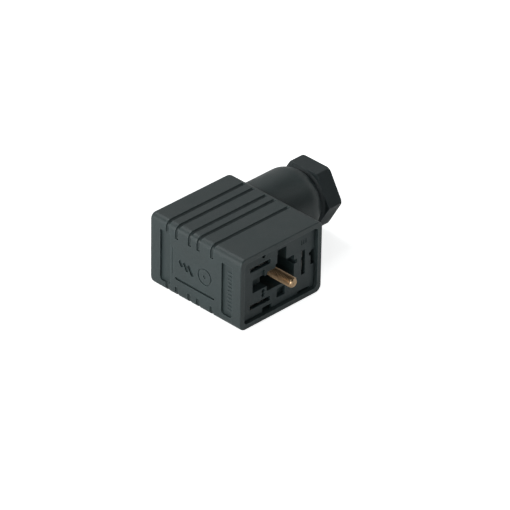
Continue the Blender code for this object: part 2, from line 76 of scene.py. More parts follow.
SHELL_HIGH = corner_box("housing")[1]
BODY_DEPTH = SHELL_HIGH.y
BODY_WIDTH = SHELL_HIGH.z
NECK_END = SHELL_HIGH.x
INSERT_LOW, INSERT_HIGH = corner_box("contact_insert")
SCREW_LOW, SCREW_HIGH = corner_box("centre_screw")
GLAND_LOW, GLAND_HIGH = corner_box("gland_screw")
GLAND_AXIS = Vector((0, (GLAND_LOW.y + GLAND_HIGH.y) / 2, (GLAND_LOW.z + GLAND_HIGH.z) / 2))
SCREW_AXIS = Vector(((SCREW_LOW.x + SCREW_HIGH.x) / 2, 0, (SCREW_LOW.z + SCREW_HIGH.z) / 2))
POLES = ("1", "2", "earth")
GLAND_THREAD_START = GLAND_LOW.x + 1.0 * MM
SCREW_HOLE_RADIUS = 1.75 * MM
WIRE_WAY_HALF = 1.6 * MM
NECK_TIP_RADIUS = 7.78 * MM
NECK_TIP_RUN = 4.6 * MM
GROOVE_PLACES = (10.4, 15.3, 18.4, 23.0, 26.4)
GROOVE_FADE = 0.45 * MM
GROOVE_TAPER = ((0.0, 0.7), (0.25, 0.9), (0.6, 0.98), (1.0, 1.0))
AROUND_Y = (0.05, 1.0, 0.05)
PLAIN_SPECULAR = 0.5

# finish, material slot, tone, roughness, grain size, bump, edge wear with painted edge highlight,
# specular level
PLASTICS = (
    ("shell_polyamide", "housing_plastic", "shell", 0.50, 0.00020, 0.55, 0.85, PLAIN_SPECULAR),
    ("insert_polyamide", "insert_plastic", "insert", 0.46, 0.00016, 0.30, 0.45, 0.4),
    ("gland_polyamide", "gland_plastic", "gland", 0.56, 0.00018, 0.35, 0.60, 0.4),
)

# finish, material slot, tone, share of the tone where tarnished, roughness, line spacing, stretch
METALS = (
    ("yellow_plating", "yellow_screw", "yellow", 0.7, 0.24, 0.00012, AROUND_Y),
    ("turned_brass", "terminal_metal", "brass", 0.66, 0.30, 0.00010, (1.0, 0.06, 1.0)),
    ("tinned_sheet", "contact_metal", "tin", 0.8, 0.34, 0.00015, (0.1, 1.0, 0.1)),
    ("zinc_plating", "plated_steel", "zinc", 0.78, 0.30, 0.00012, AROUND_Y),
)

# azimuth and elevation in degrees, and power in watts
SOFT_BOXES = {
    "left_low": (180, 18, 4.6), "back_left_low": (135, 18, 1.3), "back_high": (90, 50, 1.9),
    "back_right_low": (45, 18, 0.35), "back_right_high": (45, 50, 0.3), "right_low": (0, 18, 0.65),
    "front_left_low": (225, 18, 0.83), "front_low": (270, 18, 0.4), "front_right_high": (315, 50, 0.6),
}
SOFT_BOX_AWAY = 0.8
SOFT_BOX_SIDE = 0.45
SOFT_BOX_TINT = (0.97, 1.0, 1.0)


def length(name, default, description, **limits):
    """A length property, in metres."""
    return FloatProperty(
        name=name, default=default, description=description, unit="LENGTH", precision=5,
        min=limits.get("min", 0.0), max=limits.get("max", 1.0),
    )


def colour(name, default, description):
    """A linear colour property."""
    return FloatVectorProperty(
        name=name, default=default, description=description, subtype="COLOR", size=3, min=0, max=1
    )


class SocketShellSettings(bpy.types.PropertyGroup):
    body_length: length("Body length", 29.1 * MM, "Rectangular body, without the gland neck")
    wall: length("Wall", 1.5 * MM, "Thickness of the shell's side walls")
    side_edge: length("Side edge radius", 1.9 * MM, "Rounding of the four long edges")
    back_edge: length("Back edge radius", 1.6 * MM, "Rounding round the back face")
    softening: length("Edge softening", 0.13 * MM, "Small rounding on every moulded edge")
    groove_width: length("Grip groove width", 1.2 * MM, "Width of one grip groove")
    groove_reach: length("Grip groove reach", 27.4 * MM, "How far the grooves run from the blind end")
    groove_drop: length("Grip groove drop", 3.7 * MM, "How far the grooves run down the blind end")
    lower_drop: length("Lower groove drop", 3.1 * MM, "How far the lower grooves rise up the blind end")
    strip_depth: length("Strip depth", 0.6 * MM, "Depth of the sunk strips on the blind end")
    neck_radius: length("Neck radius", 9.3 * MM, "Outer radius of the gland neck")
    neck_rise: FloatProperty(name="Neck rise", default=0.055, min=0, max=0.1,
                             description="How much taller than wide the neck is")


class SocketInsertSettings(bpy.types.PropertyGroup):
    slab_back: length("Slab back", 11.0 * MM, "Back of the insert's slab, from the rim")
    tower_wall: length("Tower wall", 1.1 * MM, "Wall round each terminal block")
    slot_length: length("Slot length", 7.2 * MM, "Length of a blade slot")
    slot_width: length("Slot width", 1.35 * MM, "Width of a blade slot")
    pillar_radius: length("Pillar radius", 3.1 * MM, "Column round the centre screw")
    softening: length("Edge softening", 0.11 * MM, "Small rounding on every moulded edge")


class SocketMetalSettings(bpy.types.PropertyGroup):
    screw_pitch: length("Screw pitch", 0.5 * MM, "Pitch of the M3 screws")
    thread_depth: length("Screw thread depth", 0.25 * MM, "Depth of the M3 thread")
    slot_cut: length("Driver slot", 0.75 * MM, "Width of the slot in the screw heads")
    leaf: length("Contact leaf", 0.4 * MM, "Sheet thickness of the sprung contacts")


class SocketGlandSettings(bpy.types.PropertyGroup):
    flats: length("Across flats", 16.7 * MM, "Size of the gland screw's hexagon")
    pitch: length("Gland pitch", 1.41 * MM, "Pitch of the gland thread")
    thread_depth: length("Gland thread depth", 0.62 * MM, "Depth of the gland thread")
    bore: length("Bore radius", 4.4 * MM, "Radius of the cable way")
    mouth: length("Mouth radius", 5.6 * MM, "Radius of the flared mouth")
    facets: IntProperty(name="Facets", default=96, min=24, max=192, description="Facets in one turn")


class SocketFinishSettings(bpy.types.PropertyGroup):
    shell: colour("Shell", (0.0160, 0.0245, 0.0250), "Black glass-filled polyamide")
    insert: colour("Insert", (0.0140, 0.0225, 0.0235), "Black polyamide of the insert")
    gland: colour("Gland", (0.0115, 0.0175, 0.0190), "Black polyamide of the gland screw")
    yellow: colour("Yellow plating", (0.47, 0.32, 0.19), "Yellow plated screw")
    brass: colour("Brass", (0.66, 0.49, 0.22), "Turned brass")
    tin: colour("Tin", (0.42, 0.41, 0.38), "Tinned sheet brass")
    zinc: colour("Zinc", (0.55, 0.56, 0.57), "Zinc plated steel")
    rubber: colour("Rubber", (0.018, 0.018, 0.019), "Black seal rubber")


class SocketStageSettings(bpy.types.PropertyGroup):
    azimuth: FloatProperty(name="View azimuth", default=math.radians(-45.41), subtype="ANGLE",
                           description="Turn of the camera round the socket")
    elevation: FloatProperty(name="View elevation", default=math.radians(32.1), subtype="ANGLE",
                             description="Height of the camera over the horizon")
    roll: FloatProperty(name="View roll", default=math.radians(0.96), subtype="ANGLE",
                        description="Tilt of the camera about its own axis")
    distance: length("View distance", 1.1442, "Distance from the camera to the aim", max=5.0)
    focal: FloatProperty(name="Focal length", default=323.6, description="In millimetres")
    aim: FloatVectorProperty(name="Aim", default=(4.93 * MM, 0.0, 21.02 * MM), subtype="TRANSLATION",
                             description="Point in the middle of the view, from the socket's corner")
    brightness: FloatProperty(name="Brightness", default=1.1, min=0, max=10,
                              description="Strength of all the soft boxes")
    floor_white: FloatProperty(name="Floor white", default=0.62, min=0, max=2,
                               description="Glow that keeps the floor white in the picture")
    floor: FloatProperty(name="Floor size", default=3.0, unit="LENGTH", description="Side of the floor")


SETTINGS = {
    "socket_shell": SocketShellSettings,
    "socket_insert": SocketInsertSettings,
    "socket_metal": SocketMetalSettings,
    "socket_gland": SocketGlandSettings,
    "socket_finish": SocketFinishSettings,
    "socket_stage": SocketStageSettings,
}


# ------------------------------------------------------------------ shapes


def box_shape(low, high):
    """A plain block between two corners."""
    shape = bmesh.new()
    size = Vector(high) - Vector(low)
    placed = Matrix.Translation((Vector(high) + Vector(low)) / 2) @ Matrix.Diagonal((*size, 1))
    bmesh.ops.create_cube(shape, size=1, matrix=placed)
    return shape


def edges_along(shape, axis):
    """The shape's edges that lie along an axis."""
    others = [i for i in range(3) if i != axis]
    return [
        e for e in shape.edges
        if all(abs(e.verts[0].co[i] - e.verts[1].co[i]) < 1e-7 for i in others)
    ]


def edges_at(shape, axis, place):
    """The edges that lie in the plane at a place on an axis."""
    return [e for e in shape.edges if all(abs(v.co[axis] - place) < 1e-7 for v in e.verts)]


def round_off(shape, edges, radius, segments):
    """Rounds some of a shape's edges."""
    bmesh.ops.bevel(shape, geom=edges, offset=radius, segments=segments, profile=0.5, affect="EDGES")


def rounded_prism(low, high, radius, segments=8, axis=1):
    """A box with its four edges along one axis rounded."""
    shape = box_shape(low, high)
    round_off(shape, edges_along(shape, axis), radius, segments)
    return shape


def turned(profile, steps=96, turn=NO_TURN):
    """A closed outline of (radius, height) points turned round Z, then laid along another axis."""
    shape = bmesh.new()
    rings = []
    for radius, height in profile:
        count = 1 if radius < 1e-9 else steps
        turns = [2 * math.pi * (i + 0.5) / steps for i in range(count)]
        rings.append([
            shape.verts.new((radius * math.cos(a), radius * math.sin(a), height)) for a in turns
        ])
    for ring, following in zip(rings, rings[1:] + rings[:1]):
        for i in range(steps):
            corners = [
                ring[i % len(ring)], ring[(i + 1) % len(ring)],
                following[(i + 1) % len(following)], following[i % len(following)],
            ]
            corners = list(dict.fromkeys(corners))
            if len(corners) > 2:
                shape.faces.new(corners)
    shape.transform(turn)
    return shape


def extruded(outline, start, end, turn=NO_TURN):
    """A flat outline of (a, b) points, extruded from start to end and turned into place."""
    shape = bmesh.new()
    face = shape.faces.new([shape.verts.new((a, b, start)) for a, b in outline])
    moved = bmesh.ops.extrude_face_region(shape, geom=[face])["geom"]
    for vertex in moved:
        if isinstance(vertex, bmesh.types.BMVert):
            vertex.co.z = end
    shape.transform(turn)
    return shape


def arc(centre, radius, first, last, steps):
    """Points on an arc, with its angles in degrees."""
    turns = [math.radians(first + (last - first) * i / steps) for i in range(steps + 1)]
    return [(centre[0] + radius * math.cos(a), centre[1] + radius * math.sin(a)) for a in turns]


def softened(profile, radius, steps=3):
    """The outline with each of its corners off the axis rounded by an arc-like curve."""
    eased = []
    for i, here in enumerate(profile):
        here = Vector(here)
        before = Vector(profile[i - 1]) - here
        after = Vector(profile[(i + 1) % len(profile)]) - here
        reach = min(radius, before.length / 2.2, after.length / 2.2)
        if here.x < 1e-9 or reach < 1e-7:
            eased.append(tuple(here))
            continue
        start = here + before.normalized() * reach
        end = here + after.normalized() * reach
        for k in range(steps + 1):
            t = k / steps
            eased.append(tuple(start * (1 - t) ** 2 + here * 2 * t * (1 - t) + end * t * t))
    return eased


def moved(shape, place):
    """The shape, shifted by a vector."""
    shape.transform(Matrix.Translation(place))
    return shape


def joined(shapes):
    """One bmesh that holds several separate bodies."""
    whole = bmesh.new()
    for shape in shapes:
        held = bpy.data.meshes.new("held")
        bmesh.ops.recalc_face_normals(shape, faces=shape.faces)
        shape.to_mesh(held)
        shape.free()
        whole.from_mesh(held)
        bpy.data.meshes.remove(held)
    return whole


# ------------------------------------------------------------------ objects


def as_object(name, shape):
    """Links a bmesh as a plain object in the corner frame."""
    bmesh.ops.remove_doubles(shape, verts=shape.verts, dist=1e-8)
    bmesh.ops.recalc_face_normals(shape, faces=shape.faces)
    mesh = bpy.data.meshes.new(name)
    shape.to_mesh(mesh)
    shape.free()
    made = bpy.data.objects.new(name, mesh)
    bpy.context.scene.collection.objects.link(made)
    return made


def settle(made):
    """Turns the result of an object's modifiers into its own mesh."""
    bpy.context.view_layer.update()
    graph = bpy.context.evaluated_depsgraph_get()
    result = bpy.data.meshes.new_from_object(made.evaluated_get(graph))
    made.modifiers.clear()
    made.data = result


def combine(target, shape, operation):
    """Joins a shape to the target or takes it away."""
    helper = shape if isinstance(shape, bpy.types.Object) else as_object("helper", shape)
    step = target.modifiers.new("combine", "BOOLEAN")
    step.operation = operation
    step.solver = "EXACT"
    step.object = helper
    settle(target)
    bpy.data.objects.remove(helper)


def union_of(name, shapes):
    """One object of shapes that overlap, joined one after the other."""
    made = as_object(name, shapes[0])
    for shape in shapes[1:]:
        combine(made, shape, "UNION")
    return made


def soften(target, width, segments=2, angle=32):
    """Rounds every sharp edge a little, after flat faces are merged."""
    shape = bmesh.new()
    shape.from_mesh(target.data)
    bmesh.ops.remove_doubles(shape, verts=shape.verts, dist=2e-6)
    bmesh.ops.dissolve_limit(
        shape, angle_limit=math.radians(0.6), verts=shape.verts, edges=shape.edges
    )
    shape.to_mesh(target.data)
    shape.free()
    step = target.modifiers.new("soften", "BEVEL")
    step.width = width
    step.segments = segments
    step.limit_method = "ANGLE"
    step.angle_limit = math.radians(angle)
    step.use_clamp_overlap = True
    settle(target)


def finish_piece(made, material, body, nodes, crease=35):
    """Gives a piece its shading, finish and CAD body, with its place in its mesh."""
    made.data.transform(Matrix.Translation(CORNER))
    made.data.materials.clear()
    made.data.materials.append(material)
    made.data.shade_smooth()
    made.data.set_sharp_from_angle(angle=math.radians(crease))
    step = made.modifiers.new("even_shading", "WEIGHTED_NORMAL")
    step.keep_sharp = True
    settle(made)
    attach(made, body)
    if nodes:
        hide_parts(*nodes)


# ------------------------------------------------------------------ geometry nodes


def new_tree(name, inputs):
    """An empty Geometry Nodes tree with named inputs and one geometry output."""
    tree = bpy.data.node_groups.new(name, "GeometryNodeTree")
    for label, kind in inputs:
        tree.interface.new_socket(label, in_out="INPUT", socket_type=kind)
    tree.interface.new_socket("Geometry", in_out="OUTPUT", socket_type="NodeSocketGeometry")
    return tree


def feed(tree, socket, value):
    """Links an output to an input, or sets the input's own value."""
    if isinstance(value, bpy.types.NodeSocket):
        tree.links.new(value, socket)
    else:
        socket.default_value = value


def maths(tree, operation, a, b=None):
    """A Math node fed by sockets or plain numbers."""
    node = tree.nodes.new("ShaderNodeMath")
    node.operation = operation
    for socket, value in zip(node.inputs, (a, b)):
        if value is not None:
            feed(tree, socket, value)
    return node.outputs[0]


def vector_of(tree, x=0.0, y=0.0, z=0.0):
    """A vector made of sockets or plain numbers."""
    node = tree.nodes.new("ShaderNodeCombineXYZ")
    for socket, value in zip(node.inputs, (x, y, z)):
        feed(tree, socket, value)
    return node.outputs[0]


def node_with(tree, kind, **feeds):
    """A node whose inputs, named with underscores for spaces, are fed by sockets or values."""
    node = tree.nodes.new(kind)
    for label, value in feeds.items():
        feed(tree, node.inputs[label.replace("_", " ")], value)
    return node


def finish_tree(tree, geometry, given):
    """Ends a tree in Realize Instances and Set Material."""
    real = node_with(tree, "GeometryNodeRealizeInstances", Geometry=geometry)
    coated = node_with(tree, "GeometryNodeSetMaterial", Geometry=real.outputs[0])
    tree.links.new(given.outputs["Finish"], coated.inputs["Material"])
    out = tree.nodes.new("NodeGroupOutput")
    tree.links.new(coated.outputs[0], out.inputs[0])


def thread_tree():
    """A right-handed helical ridge that rises along Z and thins out at both ends."""
    tree = new_tree("helical_ridge", [
        ("Root Radius", "NodeSocketFloat"), ("Ridge Height", "NodeSocketFloat"),
        ("Root Sink", "NodeSocketFloat"), ("Pitch", "NodeSocketFloat"),
        ("Turns", "NodeSocketFloat"), ("Steps", "NodeSocketInt"), ("Finish", "NodeSocketMaterial"),
    ])
    given = tree.nodes.new("NodeGroupInput")
    rise = maths(tree, "MULTIPLY", given.outputs["Pitch"], given.outputs["Turns"])
    spiral = node_with(
        tree, "GeometryNodeCurveSpiral", Resolution=given.outputs["Steps"],
        Rotations=given.outputs["Turns"], Start_Radius=given.outputs["Root Radius"],
        End_Radius=given.outputs["Root Radius"], Height=rise, Reverse=True,
    )
    upright = node_with(tree, "GeometryNodeSetCurveNormal", Curve=spiral.outputs[0])
    upright.mode = "Z_UP"
    foot = maths(tree, "MULTIPLY", given.outputs["Pitch"], 0.42)
    crest = maths(tree, "MULTIPLY", given.outputs["Pitch"], 0.08)
    inner = maths(tree, "MULTIPLY", given.outputs["Root Sink"], -1.0)
    section = tree.nodes.new("GeometryNodeCurvePrimitiveQuadrilateral")
    section.mode = "POINTS"
    outer = given.outputs["Ridge Height"]
    corners = [
        (inner, maths(tree, "MULTIPLY", foot, -1.0)), (outer, maths(tree, "MULTIPLY", crest, -1.0)),
        (outer, crest), (inner, foot),
    ]
    for i, (x, y) in enumerate(corners):
        tree.links.new(vector_of(tree, x, y), section.inputs[f"Point {i + 1}"])
    along = tree.nodes.new("GeometryNodeSplineParameter").outputs["Factor"]
    left = maths(tree, "MULTIPLY", along, given.outputs["Turns"])
    right = maths(tree, "SUBTRACT", given.outputs["Turns"], left)
    nearer = maths(tree, "MULTIPLY", maths(tree, "MINIMUM", left, right), 1.6)
    taper = maths(tree, "MINIMUM", nearer, 1.0)
    swept = node_with(
        tree, "GeometryNodeCurveToMesh", Curve=upright.outputs[0], Profile_Curve=section.outputs[0],
        Scale=maths(tree, "MAXIMUM", taper, 0.02), Fill_Caps=True,
    )
    finish_tree(tree, swept.outputs[0], given)
    return tree


def row_tree():
    """Copies of a small piece set in a straight row."""
    tree = new_tree("row_of_pieces", [
        ("Piece", "NodeSocketObject"), ("Count", "NodeSocketInt"), ("Start", "NodeSocketVector"),
        ("Step", "NodeSocketVector"), ("Finish", "NodeSocketMaterial"),
    ])
    given = tree.nodes.new("NodeGroupInput")
    line = node_with(
        tree, "GeometryNodeMeshLine", Count=given.outputs["Count"],
        Start_Location=given.outputs["Start"], Offset=given.outputs["Step"],
    )
    piece = node_with(tree, "GeometryNodeObjectInfo", Object=given.outputs["Piece"])
    copies = node_with(
        tree, "GeometryNodeInstanceOnPoints", Points=line.outputs[0], Instance=piece.outputs["Geometry"]
    )
    finish_tree(tree, copies.outputs[0], given)
    return tree


def groove_tree():
    """A round-bottomed groove along a path, set at each point and turned about X."""
    tree = new_tree("grip_grooves", [
        ("Points", "NodeSocketGeometry"), ("Path", "NodeSocketObject"),
        ("Groove Radius", "NodeSocketFloat"), ("Turn", "NodeSocketFloat"),
        ("Finish", "NodeSocketMaterial"),
    ])
    given = tree.nodes.new("NodeGroupInput")
    path = node_with(tree, "GeometryNodeObjectInfo", Object=given.outputs["Path"])
    section = node_with(
        tree, "GeometryNodeCurvePrimitiveCircle", Resolution=20, Radius=given.outputs["Groove Radius"]
    )
    swept = node_with(
        tree, "GeometryNodeCurveToMesh", Curve=path.outputs["Geometry"],
        Profile_Curve=section.outputs[0],
        Scale=tree.nodes.new("GeometryNodeInputRadius").outputs[0], Fill_Caps=True,
    )
    copies = node_with(
        tree, "GeometryNodeInstanceOnPoints", Points=given.outputs["Points"],
        Instance=swept.outputs[0], Rotation=vector_of(tree, given.outputs["Turn"]),
    )
    finish_tree(tree, copies.outputs[0], given)
    return tree


def grown(name, tree, base=None, **values):
    """An object whose plain mesh is what the tree makes of the base with these inputs."""
    made = bpy.data.objects.new(name, base or bpy.data.meshes.new(name))
    bpy.context.scene.collection.objects.link(made)
    step = made.modifiers.new("grow", "NODES")
    step.node_group = tree
    sockets = {s.name: s.identifier for s in tree.interface.items_tree if s.in_out == "INPUT"}
    for label, value in values.items():
        step[sockets[label.replace("_", " ")]] = value
    settle(made)
    return made


def place(made, matrix):
    """Moves an object's mesh by a matrix and leaves the object at the origin."""
    made.data.transform(matrix)
    return made


# ------------------------------------------------------------------ shader groups


def shader_group(name, inputs, outputs):
    """An empty shader group with its input and output nodes."""
    tree = bpy.data.node_groups.new(name, "ShaderNodeTree")
    for label, kind, default in inputs:
        socket = tree.interface.new_socket(label, in_out="INPUT", socket_type=kind)
        if default is not None:
            socket.default_value = default
    for label, kind in outputs:
        tree.interface.new_socket(label, in_out="OUTPUT", socket_type=kind)
    return tree, tree.nodes.new("NodeGroupInput"), tree.nodes.new("NodeGroupOutput")


def noise(tree, vector, scale, detail=2.0, roughness=0.5):
    """Noise from 0 to 1."""
    return node_with(
        tree, "ShaderNodeTexNoise", Vector=vector, Scale=scale, Detail=detail, Roughness=roughness
    ).outputs["Fac"]


def remap(tree, value, low, high, to_low=0.0, to_high=1.0):
    """A smooth step from one range to another."""
    node = tree.nodes.new("ShaderNodeMapRange")
    node.interpolation_type = "SMOOTHSTEP"
    tree.links.new(value, node.inputs["Value"])
    limits = {"From Min": low, "From Max": high, "To Min": to_low, "To Max": to_high}
    for label, number in limits.items():
        feed(tree, node.inputs[label], number)
    return node.outputs["Result"]


def moulded_grain_group():
    """Spark-eroded mould texture: a fine pebble with a slow unevenness under it."""
    tree, given, out = shader_group(
        "moulded_grain",
        [("Grain Size", "NodeSocketFloat", 0.00022), ("Unevenness", "NodeSocketFloat", 0.35)],
        [("Height", "NodeSocketFloat"), ("Grain", "NodeSocketFloat"), ("Cloud", "NodeSocketFloat")],
    )
    spot = tree.nodes.new("ShaderNodeTexCoord").outputs["Object"]
    density = maths(tree, "DIVIDE", 1.0, given.outputs["Grain Size"])
    pebble = node_with(tree, "ShaderNodeTexVoronoi", Vector=spot, Scale=density).outputs["Distance"]
    fuzz = noise(tree, spot, maths(tree, "MULTIPLY", density, 0.8), 3.0, 0.6)
    swell = noise(tree, spot, 260.0, 2.0)
    grain = maths(tree, "ADD", maths(tree, "MULTIPLY", pebble, 0.6), maths(tree, "MULTIPLY", fuzz, 0.6))
    height = maths(tree, "ADD", grain, maths(tree, "MULTIPLY", swell, given.outputs["Unevenness"]))
    tree.links.new(height, out.inputs["Height"])
    tree.links.new(grain, out.inputs["Grain"])
    tree.links.new(remap(tree, noise(tree, spot, 110.0, 3.0, 0.55), 0.3, 0.7), out.inputs["Cloud"])
    return tree


def edge_wear_and_highlight_group():
    """Where convex edges are rubbed and where they get a painted highlight: broken up so that no two
    edges wear alike.
    """
    tree, given, out = shader_group(
        "edge_rub",
        [("Reach", "NodeSocketFloat", 0.0003), ("Patchiness", "NodeSocketFloat", 0.5)],
        [("Mask", "NodeSocketFloat")],
    )
    rounded = tree.nodes.new("ShaderNodeBevel")
    rounded.samples = 6
    tree.links.new(given.outputs["Reach"], rounded.inputs["Radius"])
    lean = tree.nodes.new("ShaderNodeVectorMath")
    lean.operation = "DOT_PRODUCT"
    tree.links.new(rounded.outputs[0], lean.inputs[0])
    tree.links.new(tree.nodes.new("ShaderNodeNewGeometry").outputs["Normal"], lean.inputs[1])
    bend = remap(tree, maths(tree, "SUBTRACT", 1.0, lean.outputs["Value"]), 0.01, 0.16)
    open_air = tree.nodes.new("ShaderNodeAmbientOcclusion")
    open_air.samples = 6
    open_air.inputs["Distance"].default_value = 0.0007
    # Painted highlight and wear: convex edges in the open are marked for lightening, partly real
    # rubbing and partly light caught by rounded edges, painted in.
    rubbed_and_lit = maths(tree, "MULTIPLY", bend, remap(tree, open_air.outputs["AO"], 0.72, 0.95))
    spot = tree.nodes.new("ShaderNodeTexCoord").outputs["Object"]
    patches = remap(tree, noise(tree, spot, 700.0, 4.0, 0.6), 0.3, 0.62)
    kept = maths(tree, "SUBTRACT", 1.0, given.outputs["Patchiness"])
    share = maths(tree, "ADD", kept, maths(tree, "MULTIPLY", patches, given.outputs["Patchiness"]))
    tree.links.new(maths(tree, "MULTIPLY", rubbed_and_lit, share), out.inputs["Mask"])
    return tree


def machining_group():
    """Fine cutting lines that run round an axis, with a slow tarnish over them."""
    tree, given, out = shader_group(
        "machining",
        [("Line Spacing", "NodeSocketFloat", 0.00012), ("Stretch", "NodeSocketVector", (1, 1, 1))],
        [("Height", "NodeSocketFloat"), ("Lines", "NodeSocketFloat"), ("Tarnish", "NodeSocketFloat")],
    )
    spot = tree.nodes.new("ShaderNodeTexCoord").outputs["Object"]
    squeezed = tree.nodes.new("ShaderNodeVectorMath")
    squeezed.operation = "MULTIPLY"
    tree.links.new(spot, squeezed.inputs[0])
    tree.links.new(given.outputs["Stretch"], squeezed.inputs[1])
    density = maths(tree, "DIVIDE", 1.0, given.outputs["Line Spacing"])
    lines = noise(tree, squeezed.outputs[0], density, 2.0, 0.6)
    fine = noise(tree, spot, 9000.0, 2.0)
    tree.links.new(
        maths(tree, "ADD", lines, maths(tree, "MULTIPLY", fine, 0.25)), out.inputs["Height"]
    )
    tree.links.new(lines, out.inputs["Lines"])
    tree.links.new(remap(tree, noise(tree, spot, 420.0, 4.0, 0.6), 0.35, 0.75), out.inputs["Tarnish"])
    return tree


def group_node(tree, group, **values):
    """A shader group set in a material with its own values."""
    node = tree.nodes.new("ShaderNodeGroup")
    node.node_tree = group
    for label, value in values.items():
        node.inputs[label.replace("_", " ")].default_value = value
    return node


def mixed(tree, share, low, high):
    """A colour between two, where low and high are linear colours or sockets."""
    node = tree.nodes.new("ShaderNodeMix")
    node.data_type = "RGBA"
    tree.links.new(share, node.inputs["Factor"])
    for socket, value in ((node.inputs[6], low), (node.inputs[7], high)):
        feed(tree, socket, value if isinstance(value, bpy.types.NodeSocket) else (*value, 1))
    return node.outputs[2]


def bumped(tree, shader, height, strength, distance):
    """Relief on a shader's surface."""
    bump = node_with(tree, "ShaderNodeBump", Height=height, Strength=strength, Distance=distance)
    tree.links.new(bump.outputs[0], shader.inputs["Normal"])


def new_material(name, slot, specular=PLAIN_SPECULAR):
    """A material with its node tree and its Principled shader."""
    made = bpy.data.materials.new(name)
    made.use_nodes = True
    made["slot"] = slot
    shader = made.node_tree.nodes["Principled BSDF"]
    shader.inputs["Specular IOR Level"].default_value = specular
    return made, made.node_tree, shader


def moulded_plastic(name, slot, base, roughness, grain_size, bump, wear_and_highlight, specular, groups):
    """Black polyamide: mould grain, faint flow clouds, and rubbed edges greyed partly by wear and
    partly by a painted highlight.
    """
    made, tree, shader = new_material(name, slot, specular)
    grain = group_node(tree, groups["moulded_grain"], Grain_Size=grain_size)
    rub_and_highlight = group_node(tree, groups["edge_rub"])
    shade = mixed(tree, grain.outputs["Cloud"], [c * 0.86 for c in base], [c * 1.16 for c in base])
    specks = remap(tree, grain.outputs["Grain"], 0.3, 0.8)
    shade = mixed(tree, maths(tree, "MULTIPLY", specks, 0.35), shade, [c * 1.9 for c in base])
    # Painted highlight: rounded edges are lightened in the colour as if catching light, on top of real
    # greyed wear.
    worn_and_lit = maths(tree, "MULTIPLY", rub_and_highlight.outputs["Mask"], wear_and_highlight)
    shade = mixed(tree, worn_and_lit, shade, [c * 3.0 + 0.02 for c in base])
    tree.links.new(shade, shader.inputs["Base Color"])
    rough = remap(tree, grain.outputs["Cloud"], 0.0, 1.0, roughness - 0.05, roughness + 0.05)
    smoother = maths(tree, "MULTIPLY", rub_and_highlight.outputs["Mask"], 0.10)
    tree.links.new(maths(tree, "SUBTRACT", rough, smoother), shader.inputs["Roughness"])
    bumped(tree, shader, grain.outputs["Height"], bump, 0.00004)
    return made


def machined_metal(name, slot, base, dull, roughness, spacing, stretch, groups):
    """Metal with cutting lines or plating, tarnished in patches."""
    made, tree, shader = new_material(name, slot)
    shader.inputs["Metallic"].default_value = 1.0
    marks = group_node(tree, groups["machining"], Line_Spacing=spacing, Stretch=stretch)
    rub_and_highlight = group_node(tree, groups["edge_rub"], Patchiness=0.3)
    shade = mixed(tree, marks.outputs["Tarnish"], base, dull)
    # Painted highlight in part: the same edge mask lightens the metal's convex edges, along with rubbed
    # plating.
    bright = [min(1.0, c * 1.25 + 0.04) for c in base]
    tree.links.new(
        mixed(tree, maths(tree, "MULTIPLY", rub_and_highlight.outputs["Mask"], 0.5), shade, bright),
        shader.inputs["Base Color"],
    )
    rough = remap(tree, marks.outputs["Tarnish"], 0.0, 1.0, roughness, roughness + 0.14)
    lines = maths(tree, "MULTIPLY", marks.outputs["Lines"], 0.08)
    tree.links.new(maths(tree, "ADD", rough, lines), shader.inputs["Roughness"])
    bumped(tree, shader, marks.outputs["Height"], 0.12, 0.000006)
    return made


def seal_rubber(name, slot, base, groups):
    """Dull rubber with a dusty bloom in patches."""
    made, tree, shader = new_material(name, slot, 0.35)
    grain = group_node(tree, groups["moulded_grain"], Grain_Size=0.00012, Unevenness=0.6)
    dusty = [c * 2.2 + 0.01 for c in base]
    share = maths(tree, "MULTIPLY", grain.outputs["Cloud"], 0.4)
    tree.links.new(mixed(tree, share, base, dusty), shader.inputs["Base Color"])
    tree.links.new(remap(tree, grain.outputs["Cloud"], 0, 1, 0.62, 0.78), shader.inputs["Roughness"])
    bumped(tree, shader, grain.outputs["Height"], 0.3, 0.00003)
    return made


def finish(name):
    """One of the socket's own materials, never a CAD material of the same name."""
    made = bpy.data.materials[name]
    if "slot" not in made:
        raise RuntimeError(f"{name} is not one of the socket's own finishes")
    return made


# ------------------------------------------------------------------ operators


class SocketOperator:
    """What every step of the socket has in common."""

    bl_options = {"REGISTER", "UNDO"}


class SOCKET_OT_finishes(SocketOperator, bpy.types.Operator):
    """Make the plastics, metals and rubber"""

    bl_idname = "socket.finishes"
    bl_label = "Finishes"

    def execute(self, context):
        tones = context.scene.socket_finish
        groups = {
            "moulded_grain": moulded_grain_group(),
            "edge_rub": edge_wear_and_highlight_group(),
            "machining": machining_group(),
        }
        for name, slot, tone, *values in PLASTICS:
            moulded_plastic(name, slot, getattr(tones, tone), *values, groups)
        for name, slot, tone, dulled, *values in METALS:
            base = getattr(tones, tone)
            machined_metal(name, slot, base, [c * dulled for c in base], *values, groups)
        seal_rubber("sleeve_rubber", "seal_rubber", tones.rubber, groups)
        return {"FINISHED"}


